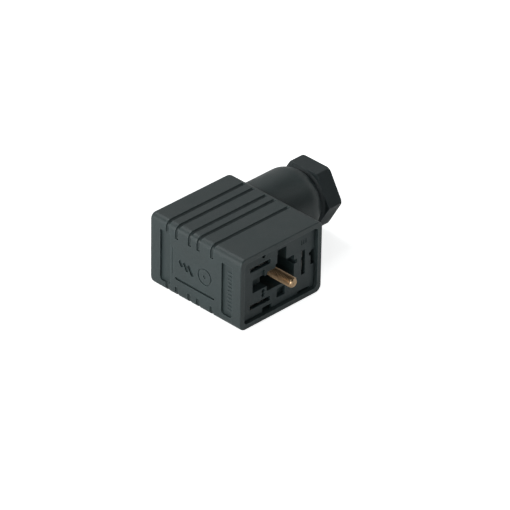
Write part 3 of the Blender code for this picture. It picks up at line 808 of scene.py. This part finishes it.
def groove_cutters(shell, drop, turned_over):
    """Five grooves that run along a broad side and turn over the blind end's edge by the drop."""
    sunk = 0.02 * MM
    half = BODY_WIDTH / 2
    bend = shell.side_edge
    turn = bend - sunk
    points = [((sunk, half - drop + GROOVE_FADE * share), size) for share, size in GROOVE_TAPER]
    points += [
        ((bend + turn * math.cos(a), half - bend + turn * math.sin(a)), 1.0)
        for a in (math.radians(180 - 90 * i / 8) for i in range(9))
    ]
    points += [
        ((shell.groove_reach - GROOVE_FADE * share, half - sunk), size)
        for share, size in reversed(GROOVE_TAPER)
    ]
    path = bpy.data.curves.new("groove_path", "CURVE")
    path.dimensions = "3D"
    spline = path.splines.new("POLY")
    spline.points.add(len(points) - 1)
    for point, ((x, z), size) in zip(spline.points, points):
        point.co = (x, 0, z, 1)
        point.radius = size
    route = bpy.data.objects.new("groove_path", path)
    bpy.context.scene.collection.objects.link(route)
    spots = bpy.data.meshes.new("groove_points")
    spots.from_pydata([(0, y * MM, half) for y in GROOVE_PLACES], [], [])
    made = grown(
        "grip_grooves", bpy.data.node_groups["grip_grooves"], spots, Path=route,
        Groove_Radius=shell.groove_width / 2, Turn=math.pi if turned_over else 0.0,
    )
    bpy.data.objects.remove(route)
    return made


def neck_shape(shell, start, facets):
    """The neck's outside: a little taller than wide, and drawn in round by an arc at its free end."""
    drop = shell.neck_radius - NECK_TIP_RADIUS
    radius = (drop ** 2 + NECK_TIP_RUN ** 2) / (2 * drop)
    sweep = math.degrees(math.asin(NECK_TIP_RUN / radius))
    curve = arc((shell.neck_radius - radius, NECK_END - NECK_TIP_RUN), radius, 0, sweep, 12)
    shape = turned([(0, start), (shell.neck_radius, start), *curve, (0, NECK_END)], facets, ALONG_X)
    for vert in shape.verts:
        reach = math.hypot(vert.co.y, vert.co.z)
        vert.co.z *= 1 + shell.neck_rise * max(0.0, (reach - NECK_TIP_RADIUS) / drop)
    return shape


class SOCKET_OT_housing(SocketOperator, bpy.types.Operator):
    """Mould the shell: rim, room, grip grooves, sunk strips, screw seat and gland neck"""

    bl_idname = "socket.housing"
    bl_label = "Housing"

    def execute(self, context):
        shell = context.scene.socket_shell
        gland = context.scene.socket_gland
        long, deep, wide, wall = shell.body_length, BODY_DEPTH, BODY_WIDTH, shell.wall
        body = rounded_prism((0, 0, 0), (long, deep, wide), shell.side_edge, 10)
        round_off(body, edges_at(body, 1, deep), shell.back_edge, 6)
        round_off(body, edges_at(body, 1, 0), 0.28 * MM, 3)
        made = as_object("housing_shell", body)
        combine(made, moved(neck_shape(shell, long - 2 * MM, gland.facets), GLAND_AXIS), "UNION")
        room = rounded_prism(
            (wall, -wall, wall), (long - wall, deep - 1.9 * MM, wide - wall), 1.1 * MM, 6
        )
        combine(made, room, "DIFFERENCE")
        post, foot, root = 1.3 * MM, 11.35 * MM, 0.4 * MM
        size = Vector((post + root, deep - wall - foot, post + root))
        posts = [
            box_shape(Vector((x, foot, z)), Vector((x, foot, z)) + size)
            for x in (wall - root, long - wall - post) for z in (wall - root, wide - wall - post)
        ]
        boss_floor, seat = 26.0 * MM, 27.5 * MM
        posts.append(moved(turned([
            (0, boss_floor), (5 * MM, boss_floor), (5 * MM, deep - wall), (0, deep - wall),
        ], 64, ALONG_Y), SCREW_AXIS))
        combine(made, joined(posts), "UNION")
        hole, well = SCREW_HOLE_RADIUS, 3.6 * MM
        cuts = [moved(turned([
            (0, boss_floor - MM), (hole, boss_floor - MM), (hole, seat), (well, seat),
            (well, deep - 0.4 * MM), (well + 0.4 * MM, deep), (well + 0.4 * MM, deep + MM),
            (0, deep + MM),
        ], 64, ALONG_Y), SCREW_AXIS)]
        seal_seat, seal_end = 29.5 * MM, 35.4 * MM
        way, seal_room, mouth = 4.6 * MM, 7.1 * MM, 7.25 * MM
        cuts.append(moved(turned([
            (0, long - 3 * MM), (way, long - 3 * MM), (way, seal_seat), (seal_room, seal_seat),
            (seal_room, seal_end), (mouth, seal_end + mouth - seal_room), (mouth, NECK_END + MM),
            (0, NECK_END + MM),
        ], gland.facets, ALONG_X), GLAND_AXIS))
        combine(made, joined(cuts), "DIFFERENCE")
        combine(made, groove_cutters(shell, shell.groove_drop, False), "DIFFERENCE")
        combine(made, groove_cutters(shell, shell.lower_drop, True), "DIFFERENCE")
        combine(made, joined(self.blind_end_cuts(shell)), "DIFFERENCE")
        combine(made, self.strip_ribs(shell), "UNION")
        soften(made, shell.softening)
        ridge = grown(
            "neck_thread", bpy.data.node_groups["helical_ridge"], Root_Radius=mouth,
            Ridge_Height=-0.5 * MM, Root_Sink=-0.12 * MM, Pitch=gland.pitch, Turns=5.0, Steps=64,
        )
        start = GLAND_THREAD_START + gland.pitch * 0.5
        place(ridge, Matrix.Translation(GLAND_AXIS + Vector((start, 0, 0))) @ ALONG_X)
        combine(made, ridge, "UNION")
        finish_piece(made, finish("shell_polyamide"), "housing", ["housing"])
        return {"FINISHED"}

    def blind_end_cuts(self, shell):
        """Sunk strips, engraved line, fine witness line and the plain moulder's marks."""
        out = -MM
        cuts = []
        for y in (4.95 * MM, 27.1 * MM):
            strip = box_shape(
                (out, y - 1.9 * MM, 2.7 * MM), (shell.strip_depth, y + 1.9 * MM, 17.9 * MM)
            )
            corners = [e for e in edges_along(strip, 0) if e.verts[0].co.z < 10 * MM]
            round_off(strip, corners, 0.9 * MM, 6)
            cuts.append(strip)
        engraved = (out, 9.3 * MM, 5.26 * MM), (0.5 * MM, 23.5 * MM, 6.06 * MM)
        cuts.append(rounded_prism(*engraved, 0.36 * MM, 5, 0))
        cuts += self.plain_marks(out, 0.22 * MM)
        witness = (out, 24.25 * MM, 6.8 * MM), (0.09 * MM, 24.6 * MM, 14.4 * MM)
        cuts.append(rounded_prism(*witness, 0.1 * MM, 3, 0))
        return cuts

    def plain_marks(self, out, depth):
        """A sunk ring with a dot, and three slanted bars beside it."""
        middle = Vector((0, 12.8 * MM, 10.75 * MM))
        inner, outer = 2.05 * MM, 2.5 * MM
        ring = turned([(inner, out), (outer, out), (outer, depth), (inner, depth)], 48, ALONG_X)
        dot = turned([(0, out), (0.55 * MM, out), (0.55 * MM, depth), (0, depth)], 24, ALONG_X)
        marks = [moved(ring, middle), moved(dot, middle)]
        for i, half_length in enumerate((1.6, 1.35, 1.0)):
            corner = Vector((depth * 2, 0.6 * MM, half_length * MM))
            bar = rounded_prism((out, -corner.y, -corner.z), corner, 0.45 * MM, 3, 0)
            bar.transform(Matrix.Rotation(math.radians(-32), 4, "X"))
            marks.append(moved(bar, (0, (17.9 + 1.75 * i) * MM, (10.2 + 0.3 * i) * MM)))
        return marks

    def strip_ribs(self, shell):
        """A row of low ribs on the floor of the strip by the rim."""
        rib = rounded_prism(
            (shell.strip_depth - 0.16 * MM, -0.8 * MM, -0.2 * MM),
            (shell.strip_depth + 0.3 * MM, 0.8 * MM, 0.2 * MM), 0.12 * MM, 3, 0,
        )
        pattern = as_object("rib", rib)
        made = grown(
            "strip_ribs", bpy.data.node_groups["row_of_pieces"], Piece=pattern, Count=11,
            Start=(0, 4.35 * MM, 4.5 * MM), Step=(0, 0, 1.1 * MM),
        )
        bpy.data.objects.remove(pattern)
        return made


def bar_marks(x, z, count, size, pitch, deep):
    """Small upright bars sunk in the insert's face, one beside the other."""
    front = INSERT_LOW.y
    first = x - pitch * (count - 1) / 2
    return [
        rounded_prism(
            (first + i * pitch - 0.16 * MM, front - MM, z - size / 2),
            (first + i * pitch + 0.16 * MM, front + deep, z + size / 2), 0.1 * MM, 2,
        )
        for i in range(count)
    ]


class Pole:
    """Where one terminal stands and which way its blade lies."""

    def __init__(self, name):
        low, high = corner_box(f"terminal_block_{name}")
        self.name = name
        self.low, self.high = low, high
        self.x, self.z = (low.x + high.x) / 2, (low.z + high.z) / 2
        self.size_x, self.size_z = high.x - low.x, high.z - low.z
        self.upright = self.size_z > self.size_x

    def box(self, along, across, start, end):
        """A box centred on the pole, long along the blade."""
        a, b = (across, along) if self.upright else (along, across)
        return box_shape((self.x - a / 2, start, self.z - b / 2), (self.x + a / 2, end, self.z + b / 2))


class SOCKET_OT_insert(SocketOperator, bpy.types.Operator):
    """Mould the contact insert: slots, stepped hollow, latch notches, towers and screw pillar"""

    bl_idname = "socket.insert"
    bl_label = "Contact insert"

    def execute(self, context):
        mould = context.scene.socket_insert
        low, front = INSERT_LOW, INSERT_LOW.y
        high = Vector((INSERT_HIGH.x, mould.slab_back, INSERT_HIGH.z))
        made = as_object("insert_moulding", rounded_prism(low, high, 1.1 * MM, 6))
        combine(made, self.towers(mould, low, high), "UNION")
        combine(made, self.terminal_cuts(mould), "DIFFERENCE")
        combine(made, self.front_cuts(front, low, high), "DIFFERENCE")
        combine(made, self.steps(front), "DIFFERENCE")
        bore = turned([
            (0, -MM), (SCREW_HOLE_RADIUS, -MM), (SCREW_HOLE_RADIUS, INSERT_HIGH.y - 0.4 * MM),
            (2.1 * MM, INSERT_HIGH.y + 0.01 * MM), (2.1 * MM, INSERT_HIGH.y + MM),
            (0, INSERT_HIGH.y + MM),
        ], 48, ALONG_Y)
        combine(made, moved(bore, SCREW_AXIS), "DIFFERENCE")
        soften(made, mould.softening)
        finish_piece(made, finish("insert_polyamide"), "insert", ["contact_insert"])
        return {"FINISHED"}

    def towers(self, mould, low, high):
        """The walls round the terminal blocks, and the pillar."""
        root, wall, inset = mould.slab_back - MM, mould.tower_wall, 0.08 * MM
        shapes = [
            box_shape(
                (pole.low.x - wall, root, max(pole.low.z - wall, low.z + inset)),
                (pole.high.x + wall, pole.high.y - 0.85 * MM, min(pole.high.z + wall, high.z - inset)),
            )
            for pole in map(Pole, POLES)
        ]
        radius, top = mould.pillar_radius, INSERT_HIGH.y
        pillar = turned([(0, root), (radius, root), (radius, top), (0, top)], 64, ALONG_Y)
        return union_of("towers", [*shapes, moved(pillar, SCREW_AXIS)])

    def terminal_cuts(self, mould):
        """Seats, pockets and blade slots, one behind the other, and the ways for the wires."""
        play, lip, past = 0.15 * MM, 1.0 * MM, 1.5 * MM
        front = INSERT_LOW.y
        shapes = []
        for pole in map(Pole, POLES):
            seat_along = max(pole.size_x, pole.size_z) + 2 * play
            seat_across = min(pole.size_x, pole.size_z) + 2 * play
            shapes += [
                pole.box(seat_along, seat_across, mould.slab_back, pole.high.y + past),
                pole.box(mould.slot_length + 0.2 * MM, 3.4 * MM, front + lip, mould.slab_back + past),
                pole.box(mould.slot_length, mould.slot_width, front - past, front + lip + past),
                box_shape(
                    (pole.x, pole.low.y + MM, pole.z - WIRE_WAY_HALF),
                    (pole.high.x + 3 * mould.tower_wall, pole.high.y + past, pole.z + WIRE_WAY_HALF),
                ),
            ]
        return union_of("terminal_cuts", shapes)

    def front_cuts(self, front, low, high):
        """Latch notches and the small marks beside the slots: dots for the poles, bars for earth."""
        past = MM
        notch = front + 2.2 * MM
        shapes = [
            box_shape((high.x - 1.3 * MM, front - past, 8.6 * MM), (high.x + past, notch, 13.0 * MM)),
            box_shape(
                (high.x - 1.9 * MM, front - past, 11.4 * MM), (high.x - MM, front + 1.2 * MM, 12.5 * MM)
            ),
            box_shape((8.8 * MM, front - past, low.z - past), (12.1 * MM, notch, 3.2 * MM)),
            box_shape(
                (21.4 * MM, front - past, low.z - past), (25.6 * MM, front + 1.5 * MM, 2.45 * MM)
            ),
            box_shape((13.9 * MM, front - past, 3.9 * MM), (16.9 * MM, front + 1.3 * MM, 6.6 * MM)),
        ]
        radius, floor = 0.6 * MM, front + 0.7 * MM
        dot = [(0, front - past), (radius, front - past), (radius, floor), (0, floor)]
        places = ((9.1, 18.4), (9.0, 8.1), (9.0, 6.95))
        shapes += [moved(turned(dot, 24, ALONG_Y), (x * MM, 0, z * MM)) for x, z in places]
        shapes += bar_marks(23.4 * MM, 16.55 * MM, 3, 1.5 * MM, 0.75 * MM, 0.4 * MM)
        return union_of("front_cuts", shapes)

    def steps(self, front):
        """The stepped hollow round the centre screw, each step with two (x, z) corners and a depth."""
        steps = (
            ((10.3, 7.5), (20.0, 13.2), 7.0),
            ((13.3, 12.0), (20.0, 14.2), 5.0),
            ((13.9, 13.0), (17.2, 18.0), 2.8),
            ((5.2, 9.0), (10.8, 12.4), 2.6),
            ((5.2, 10.5), (9.5, 14.4), 0.6),
            ((19.7, 11.4), (21.1, 12.6), 2.4),
        )
        return union_of("steps", [
            rounded_prism(
                (a * MM, front - MM, b * MM), (c * MM, front + depth * MM, d * MM), 0.25 * MM, 3
            )
            for (a, b), (c, d), depth in steps
        ])


class SOCKET_OT_contacts(SocketOperator, bpy.types.Operator):
    """Fold the sprung contacts that grip the valve's blades"""

    bl_idname = "socket.contacts"
    bl_label = "Contacts"

    def execute(self, context):
        leaf = context.scene.socket_metal.leaf
        for name in POLES:
            pole = Pole(name)
            node = f"contact_{name}"
            low, high = corner_box(node)
            along = max(high.x - low.x, high.z - low.z)
            half = self.half_section(low.y, high.y, leaf)
            outline = half + [(-a, b) for a, b in reversed(half)]
            lay = Matrix(((0, 0, 1, 0), (0, 1, 0, 0), (-1, 0, 0, 0), (0, 0, 0, 1)))
            if pole.upright:
                lay = Matrix.Rotation(math.pi / 2, 4, "Y") @ lay
            made = as_object(f"sprung_{node}", extruded(outline, -along / 2, along / 2, lay))
            window = pole.box(along * 0.16, 6 * MM, low.y - MM, high.y - 2.6 * MM)
            made.data.transform(Matrix.Translation((pole.x, 0, pole.z)))
            combine(made, window, "DIFFERENCE")
            soften(made, 0.05 * MM, 2, 40)
            finish_piece(made, finish("tinned_sheet"), "insert", [node])
        return {"FINISHED"}

    def half_section(self, mouth, base, leaf):
        """Half of the folded sheet in section, as (across the blade, along Y)."""
        centre_line = [
            (1.0 * MM, mouth), (0.72 * MM, mouth + 0.7 * MM), (0.5 * MM, mouth + 1.5 * MM),
            (0.52 * MM, mouth + 2.3 * MM), (0.85 * MM, mouth + 3.8 * MM), (1.25 * MM, mouth + 5.4 * MM),
            (1.25 * MM, base - 1.0 * MM),
        ]
        outer = [(a + leaf / 2, b) for a, b in centre_line]
        inner = [(a - leaf / 2, b) for a, b in reversed(centre_line)]
        inner[0] = (inner[0][0], base - leaf)
        return [(outer[-1][0] - leaf / 3, base), *reversed(outer), *reversed(inner)]


class SOCKET_OT_terminals(SocketOperator, bpy.types.Operator):
    """Machine the terminal blocks and stamp their clamp plates"""

    bl_idname = "socket.terminals"
    bl_label = "Terminal blocks and clamp plates"

    def execute(self, context):
        for pole in map(Pole, POLES):
            self.block(pole)
            self.plate(pole)
        return {"FINISHED"}

    def block(self, pole):
        """A block with a way for the wire and a hole for the screw."""
        node = f"terminal_block_{pole.name}"
        made = as_object(f"turned_{node}", box_shape(pole.low, pole.high))
        room = box_shape(
            (pole.low.x - MM, pole.low.y + MM, pole.z - WIRE_WAY_HALF),
            (pole.high.x + MM, pole.low.y + 4.9 * MM, pole.z + WIRE_WAY_HALF),
        )
        combine(made, room, "DIFFERENCE")
        hole, brim, start, top = 1.6 * MM, 1.95 * MM, pole.low.y + 3 * MM, pole.high.y
        tapped = turned([
            (0, start), (hole, start), (hole, top - 0.3 * MM), (brim, top + 0.05 * MM),
            (brim, top + MM), (0, top + MM),
        ], 48, ALONG_Y)
        combine(made, moved(tapped, (pole.x, 0, pole.z)), "DIFFERENCE")
        soften(made, 0.14 * MM)
        finish_piece(made, finish("turned_brass"), "insert", [node])

    def plate(self, pole):
        """A plate with a row of ribs that grip the wire."""
        node = f"clamp_plate_{pole.name}"
        low, high = corner_box(node)
        made = as_object(f"stamped_{node}", box_shape(low + Vector((0, 0.12 * MM, 0)), high))
        rib = as_object("rib", rounded_prism(
            (-0.25 * MM, -0.22 * MM, low.z - pole.z + 0.1 * MM),
            (0.25 * MM, 0.2 * MM, high.z - pole.z - 0.1 * MM), 0.15 * MM, 3, 2,
        ))
        count = 5 if pole.size_x > 6 * MM else 3
        ribs = grown(
            "plate_ribs", bpy.data.node_groups["row_of_pieces"], Piece=rib, Count=count,
            Start=(pole.x - (count - 1) * 0.5 * MM, low.y + 0.22 * MM, pole.z), Step=(MM, 0, 0),
        )
        bpy.data.objects.remove(rib)
        combine(made, ribs, "UNION")
        soften(made, 0.08 * MM)
        finish_piece(made, finish("zinc_plating"), f"clamp_{pole.name}", [node])


def threaded_screw(name, box, head, thread, metal, facets=64):
    """A slotted screw along Y: threaded from its tip, with a softened cylinder head.

    head is its radius and height, and thread is how far the thread runs from the tip.
    """
    low, high = box
    axis = Vector(((low.x + high.x) / 2, 0, (low.z + high.z) / 2))
    head_radius, head_height = head
    seat = high.y - head_height
    major = 1.45 * MM
    depth, pitch = metal.thread_depth, metal.screw_pitch
    core = major - depth
    shank = major - 0.1 * MM
    profile = [(0, low.y), (core - 0.25 * MM, low.y), (core, low.y + 0.3 * MM), (core, low.y + thread)]
    if seat - low.y - thread > 0.6 * MM:
        profile += [(shank, low.y + thread + 0.3 * MM), (shank, seat)]
    else:
        profile += [(core, seat)]
    dome = 0.28 * head_height
    head_outline = [(head_radius - 0.08 * MM, seat), (head_radius, seat + 0.1 * MM)]
    head_outline += arc((head_radius - dome, high.y - dome), dome, 0, 90, 6)
    profile += head_outline + [(0, high.y)]
    made = as_object(name, turned(profile, facets, ALONG_Y))
    ridge = grown(
        "ridge", bpy.data.node_groups["helical_ridge"], Root_Radius=core, Ridge_Height=depth,
        Root_Sink=0.06 * MM, Pitch=pitch, Turns=(thread - 0.25 * MM) / pitch - 0.5, Steps=32,
    )
    place(ridge, ALONG_Y @ Matrix.Translation((0, 0, low.y + 0.2 * MM)))
    combine(made, ridge, "UNION")
    slot = box_shape(
        (-2 * head_radius, high.y - head_height * 0.52, -metal.slot_cut / 2),
        (2 * head_radius, high.y + MM, metal.slot_cut / 2),
    )
    combine(made, slot, "DIFFERENCE")
    made.data.transform(Matrix.Translation(axis))
    return made


class SOCKET_OT_terminal_screws(SocketOperator, bpy.types.Operator):
    """Cut the slotted screws that press on the wires"""

    bl_idname = "socket.terminal_screws"
    bl_label = "Terminal screws"

    def execute(self, context):
        metal = context.scene.socket_metal
        for name in POLES:
            node = f"terminal_screw_{name}"
            box = corner_box(node)
            radius = (box[1].x - box[0].x) / 2
            made = threaded_screw(f"slotted_{node}", box, (radius, 1.5 * MM), 4.2 * MM, metal)
            finish_piece(made, finish("zinc_plating"), node, [node], 40)
        return {"FINISHED"}


class SOCKET_OT_centre_screw(SocketOperator, bpy.types.Operator):
    """Cut the long screw that holds the socket on its valve, with its washer and seal ring"""

    bl_idname = "socket.centre_screw"
    bl_label = "Centre screw, washer and seal ring"

    def execute(self, context):
        metal = context.scene.socket_metal
        made = threaded_screw(
            "long_centre_screw", (SCREW_LOW, SCREW_HIGH), (2.75 * MM, 2.2 * MM), 17 * MM, metal
        )
        node = "centre_screw"
        finish_piece(made, finish("yellow_plating"), node, [node], 40)
        for node, material, slot, ease in (
            ("screw_washer", "zinc_plating", "plated_steel", 0.12 * MM),
            ("screw_seal_ring", "sleeve_rubber", "seal_rubber", 0.42 * MM),
        ):
            low, high = corner_box(node)
            outer = (high.x - low.x) / 2
            hole = 1.6 * MM
            outline = [(hole, low.y), (outer, low.y), (outer, high.y), (hole, high.y)]
            outline = softened(outline, ease, 5)
            ring = as_object(f"round_{node}", moved(turned(outline, 72, ALONG_Y), SCREW_AXIS))
            finish_piece(ring, finish(material), "screw_rings", [node])
        return {"FINISHED"}


class SOCKET_OT_gland_screw(SocketOperator, bpy.types.Operator):
    """Mould the hollow gland screw: hexagonal head, thread and flared mouth"""

    bl_idname = "socket.gland_screw"
    bl_label = "Gland screw"

    def execute(self, context):
        gland = context.scene.socket_gland
        start, end = NECK_END + 0.2 * MM, GLAND_HIGH.x
        tip = GLAND_LOW.x
        corner = gland.flats / math.sqrt(3)
        outer, edge = 9.66 * MM, 0.22 * MM
        angles = [math.pi / 6 + i * math.pi / 3 for i in range(6)]
        hexagon = [Vector((corner * math.cos(a), corner * math.sin(a))) for a in angles]
        outline = []
        for i, point in enumerate(hexagon):
            back = (hexagon[i - 1] - point).normalized()
            on = (hexagon[(i + 1) % 6] - point).normalized()
            outline += [
                tuple(point + back * edge), tuple(point + (back + on) * edge * 0.27),
                tuple(point + on * edge),
            ]
        made = as_object("gland_hexagon", extruded(outline, start, end, ALONG_X))
        form = turned([
            (0, start - MM), (7.45 * MM, start - MM), (7.45 * MM, start),
            (8.3 * MM, start + 0.8 * MM), (outer, start + 1.0 * MM), (outer, end - 0.3 * MM),
            (outer - 0.38 * MM, end), (outer - 0.38 * MM, end + MM), (0, end + MM),
        ], gland.facets, ALONG_X)
        combine(made, form, "INTERSECT")
        blunt = GLAND_HIGH.y - GLAND_AXIS.y - 0.02 * MM
        combine(made, box_shape((start - MM, blunt, -MM), (end + MM, blunt + MM, MM)), "DIFFERENCE")
        thread_top = 7.12 * MM
        core = thread_top - gland.thread_depth
        shank = turned([
            (0, tip), (core - 0.5 * MM, tip), (core, tip + 0.5 * MM), (core, start + MM),
            (0, start + MM),
        ], gland.facets, ALONG_X)
        combine(made, shank, "UNION")
        flare = gland.mouth - gland.bore
        curve = [(2 * gland.mouth - a, b) for a, b in arc((gland.mouth, end - flare), flare, 0, 90, 8)]
        bore = turned([
            (0, tip - MM), (gland.bore + 0.3 * MM, tip - MM), (gland.bore + 0.3 * MM, tip),
            (gland.bore, tip + 0.3 * MM), *curve, (gland.mouth, end + MM), (0, end + MM),
        ], gland.facets, ALONG_X)
        combine(made, bore, "DIFFERENCE")
        soften(made, 0.13 * MM, 3)
        turns = (start - GLAND_THREAD_START - 0.4 * MM) / gland.pitch
        ridge = grown(
            "gland_ridge", bpy.data.node_groups["helical_ridge"], Root_Radius=core,
            Ridge_Height=gland.thread_depth, Root_Sink=0.1 * MM, Pitch=gland.pitch, Turns=turns,
            Steps=64,
        )
        place(ridge, Matrix.Translation((GLAND_THREAD_START, 0, 0)) @ ALONG_X)
        combine(made, ridge, "UNION")
        made.data.transform(Matrix.Translation(GLAND_AXIS))
        finish_piece(made, finish("gland_polyamide"), "gland_screw", ["gland_screw"])
        return {"FINISHED"}


class SOCKET_OT_gland_rings(SocketOperator, bpy.types.Operator):
    """Turn the seal sleeve and the two rings that press on it"""

    bl_idname = "socket.gland_rings"
    bl_label = "Gland seal and rings"

    def execute(self, context):
        rings = (("gland_seat_ring", "housing", 0.0), ("gland_push_ring", "push_ring", 0.25 * MM))
        for node, body, clear in rings:
            low, high = corner_box(node)
            outer, hole = (high.y - low.y) / 2 - clear, 4.3 * MM
            outline = [(hole, low.x), (outer, low.x), (outer, high.x), (hole, high.x)]
            shape = turned(softened(outline, 0.15 * MM), 96, ALONG_X)
            made = as_object(f"round_{node}", moved(shape, GLAND_AXIS))
            finish_piece(made, finish("zinc_plating"), body, [node])
        low, high = corner_box("gland_seal")
        outer, hole = (high.y - low.y) / 2, 3.6 * MM
        dip = 0.45 * MM
        outline = [(hole, low.x), (outer - dip, low.x), (outer, low.x + 2 * dip)]
        for share in (0.36, 0.64):
            middle = low.x + share * (high.x - low.x)
            outline += [(outer, middle - dip), (outer - dip, middle), (outer, middle + dip)]
        outline += [(outer, high.x - 2 * dip), (outer - dip, high.x), (hole, high.x)]
        inner = []
        for share in (0.75, 0.5, 0.25):
            middle = low.x + share * (high.x - low.x)
            inner += [(hole, middle + dip), (hole + dip, middle), (hole, middle - dip)]
        shape = turned(softened(outline + inner, 0.3 * MM, 4), 96, ALONG_X)
        made = as_object("ribbed_gland_seal", moved(shape, GLAND_AXIS))
        finish_piece(made, finish("sleeve_rubber"), "housing", ["gland_seal"])
        return {"FINISHED"}


# ------------------------------------------------------------------ studio


def direction(azimuth, elevation):
    """The way towards an azimuth and elevation in degrees."""
    a, e = math.radians(azimuth), math.radians(elevation)
    return Vector((math.cos(a) * math.cos(e), math.sin(a) * math.cos(e), math.sin(e)))


def soft_box(name, toward, aim, power):
    """A square soft box that stands off from its aim."""
    light = bpy.data.lights.new(name, "AREA")
    light.shape = "SQUARE"
    light.size = SOFT_BOX_SIDE
    light.energy = power
    light.color = SOFT_BOX_TINT
    made = bpy.data.objects.new(name, light)
    made.location = aim + toward * SOFT_BOX_AWAY
    made.rotation_euler = (-toward).to_track_quat("-Z", "Y").to_euler()
    bpy.context.scene.collection.objects.link(made)


class SOCKET_OT_stage(SocketOperator, bpy.types.Operator):
    """Set the pale floor, the soft lights and the camera"""

    bl_idname = "socket.stage"
    bl_label = "Stage"

    def execute(self, context):
        stage = context.scene.socket_stage
        self.camera(context, stage)
        self.floor(stage)
        self.world(context)
        middle = Vector((0, 0, 0.01))
        for name, (azimuth, elevation, power) in SOFT_BOXES.items():
            soft_box(name, direction(azimuth, elevation), middle, power * stage.brightness)
        return {"FINISHED"}

    def camera(self, context, stage):
        """The camera, aimed from the socket's corner."""
        a, e = stage.azimuth, stage.elevation
        back = Vector((math.sin(a) * math.cos(e), -math.cos(a) * math.cos(e), math.sin(e)))
        lens = bpy.data.cameras.new("view")
        lens.lens = stage.focal
        lens.sensor_width = 36
        lens.clip_start, lens.clip_end = 0.05, 20
        made = bpy.data.objects.new("view", lens)
        made.location = CORNER + Vector(stage.aim) + back * stage.distance
        turn = (-back).to_track_quat("-Z", "Y").to_matrix().to_4x4()
        made.rotation_euler = (turn @ Matrix.Rotation(stage.roll, 4, "Z")).to_euler()
        context.scene.collection.objects.link(made)
        context.scene.camera = made

    def floor(self, stage):
        """A sheet of pale paper that stays white where the camera sees it."""
        shape = bmesh.new()
        bmesh.ops.create_grid(shape, x_segments=1, y_segments=1, size=stage.floor / 2)
        made = as_object("studio_floor", shape)
        paper = bpy.data.materials.new("studio_paper")
        paper.use_nodes = True
        tree = paper.node_tree
        shader = tree.nodes["Principled BSDF"]
        shader.inputs["Base Color"].default_value = (0.9, 0.9, 0.9, 1)
        shader.inputs["Roughness"].default_value = 0.9
        shader.inputs["Emission Color"].default_value = (1, 1, 1, 1)
        seen = tree.nodes.new("ShaderNodeLightPath").outputs["Is Camera Ray"]
        glow = maths(tree, "MULTIPLY", seen, stage.floor_white)
        tree.links.new(maths(tree, "ADD", glow, 0.1), shader.inputs["Emission Strength"])
        made.data.materials.append(paper)

    def world(self, context):
        """White behind the floor's far edge, and next to no light from it."""
        sky = bpy.data.worlds.new("studio_white")
        sky.use_nodes = True
        tree = sky.node_tree
        backdrop = tree.nodes["Background"]
        backdrop.inputs["Color"].default_value = (1, 1, 1, 1)
        seen = tree.nodes.new("ShaderNodeLightPath").outputs["Is Camera Ray"]
        tree.links.new(maths(tree, "MAXIMUM", seen, 0.02), backdrop.inputs["Strength"])
        context.scene.world = sky
        context.scene.view_settings.view_transform = "Standard"


STEPS = (
    SOCKET_OT_finishes, SOCKET_OT_housing, SOCKET_OT_insert, SOCKET_OT_contacts,
    SOCKET_OT_terminals, SOCKET_OT_terminal_screws, SOCKET_OT_centre_screw,
    SOCKET_OT_gland_screw, SOCKET_OT_gland_rings, SOCKET_OT_stage,
)


class SOCKET_PT_panel(bpy.types.Panel):
    """Lists the socket's steps and its settings"""

    bl_idname = "SOCKET_PT_panel"
    bl_label = "Valve cable socket"
    bl_space_type = "VIEW_3D"
    bl_region_type = "UI"
    bl_category = "Socket"

    def draw(self, context):
        for step in STEPS:
            self.layout.operator(step.bl_idname)
        for attribute, group in SETTINGS.items():
            box = self.layout.box()
            box.label(text=group.__name__.removeprefix("Socket").removesuffix("Settings"))
            for name in group.__annotations__:
                box.prop(getattr(context.scene, attribute), name)


def register():
    for group in (*SETTINGS.values(), *STEPS, SOCKET_PT_panel):
        bpy.utils.register_class(group)
    for attribute, group in SETTINGS.items():
        setattr(bpy.types.Scene, attribute, PointerProperty(type=group))


def unregister():
    for attribute in SETTINGS:
        delattr(bpy.types.Scene, attribute)
    for group in reversed((*SETTINGS.values(), *STEPS, SOCKET_PT_panel)):
        bpy.utils.unregister_class(group)


def main():
    register()
    for make_tree in (thread_tree, row_tree, groove_tree):
        make_tree()
    for step in STEPS:
        kind, name = step.bl_idname.split(".")
        getattr(getattr(bpy.ops, kind), name)()


if __name__ == "__main__":
    main()
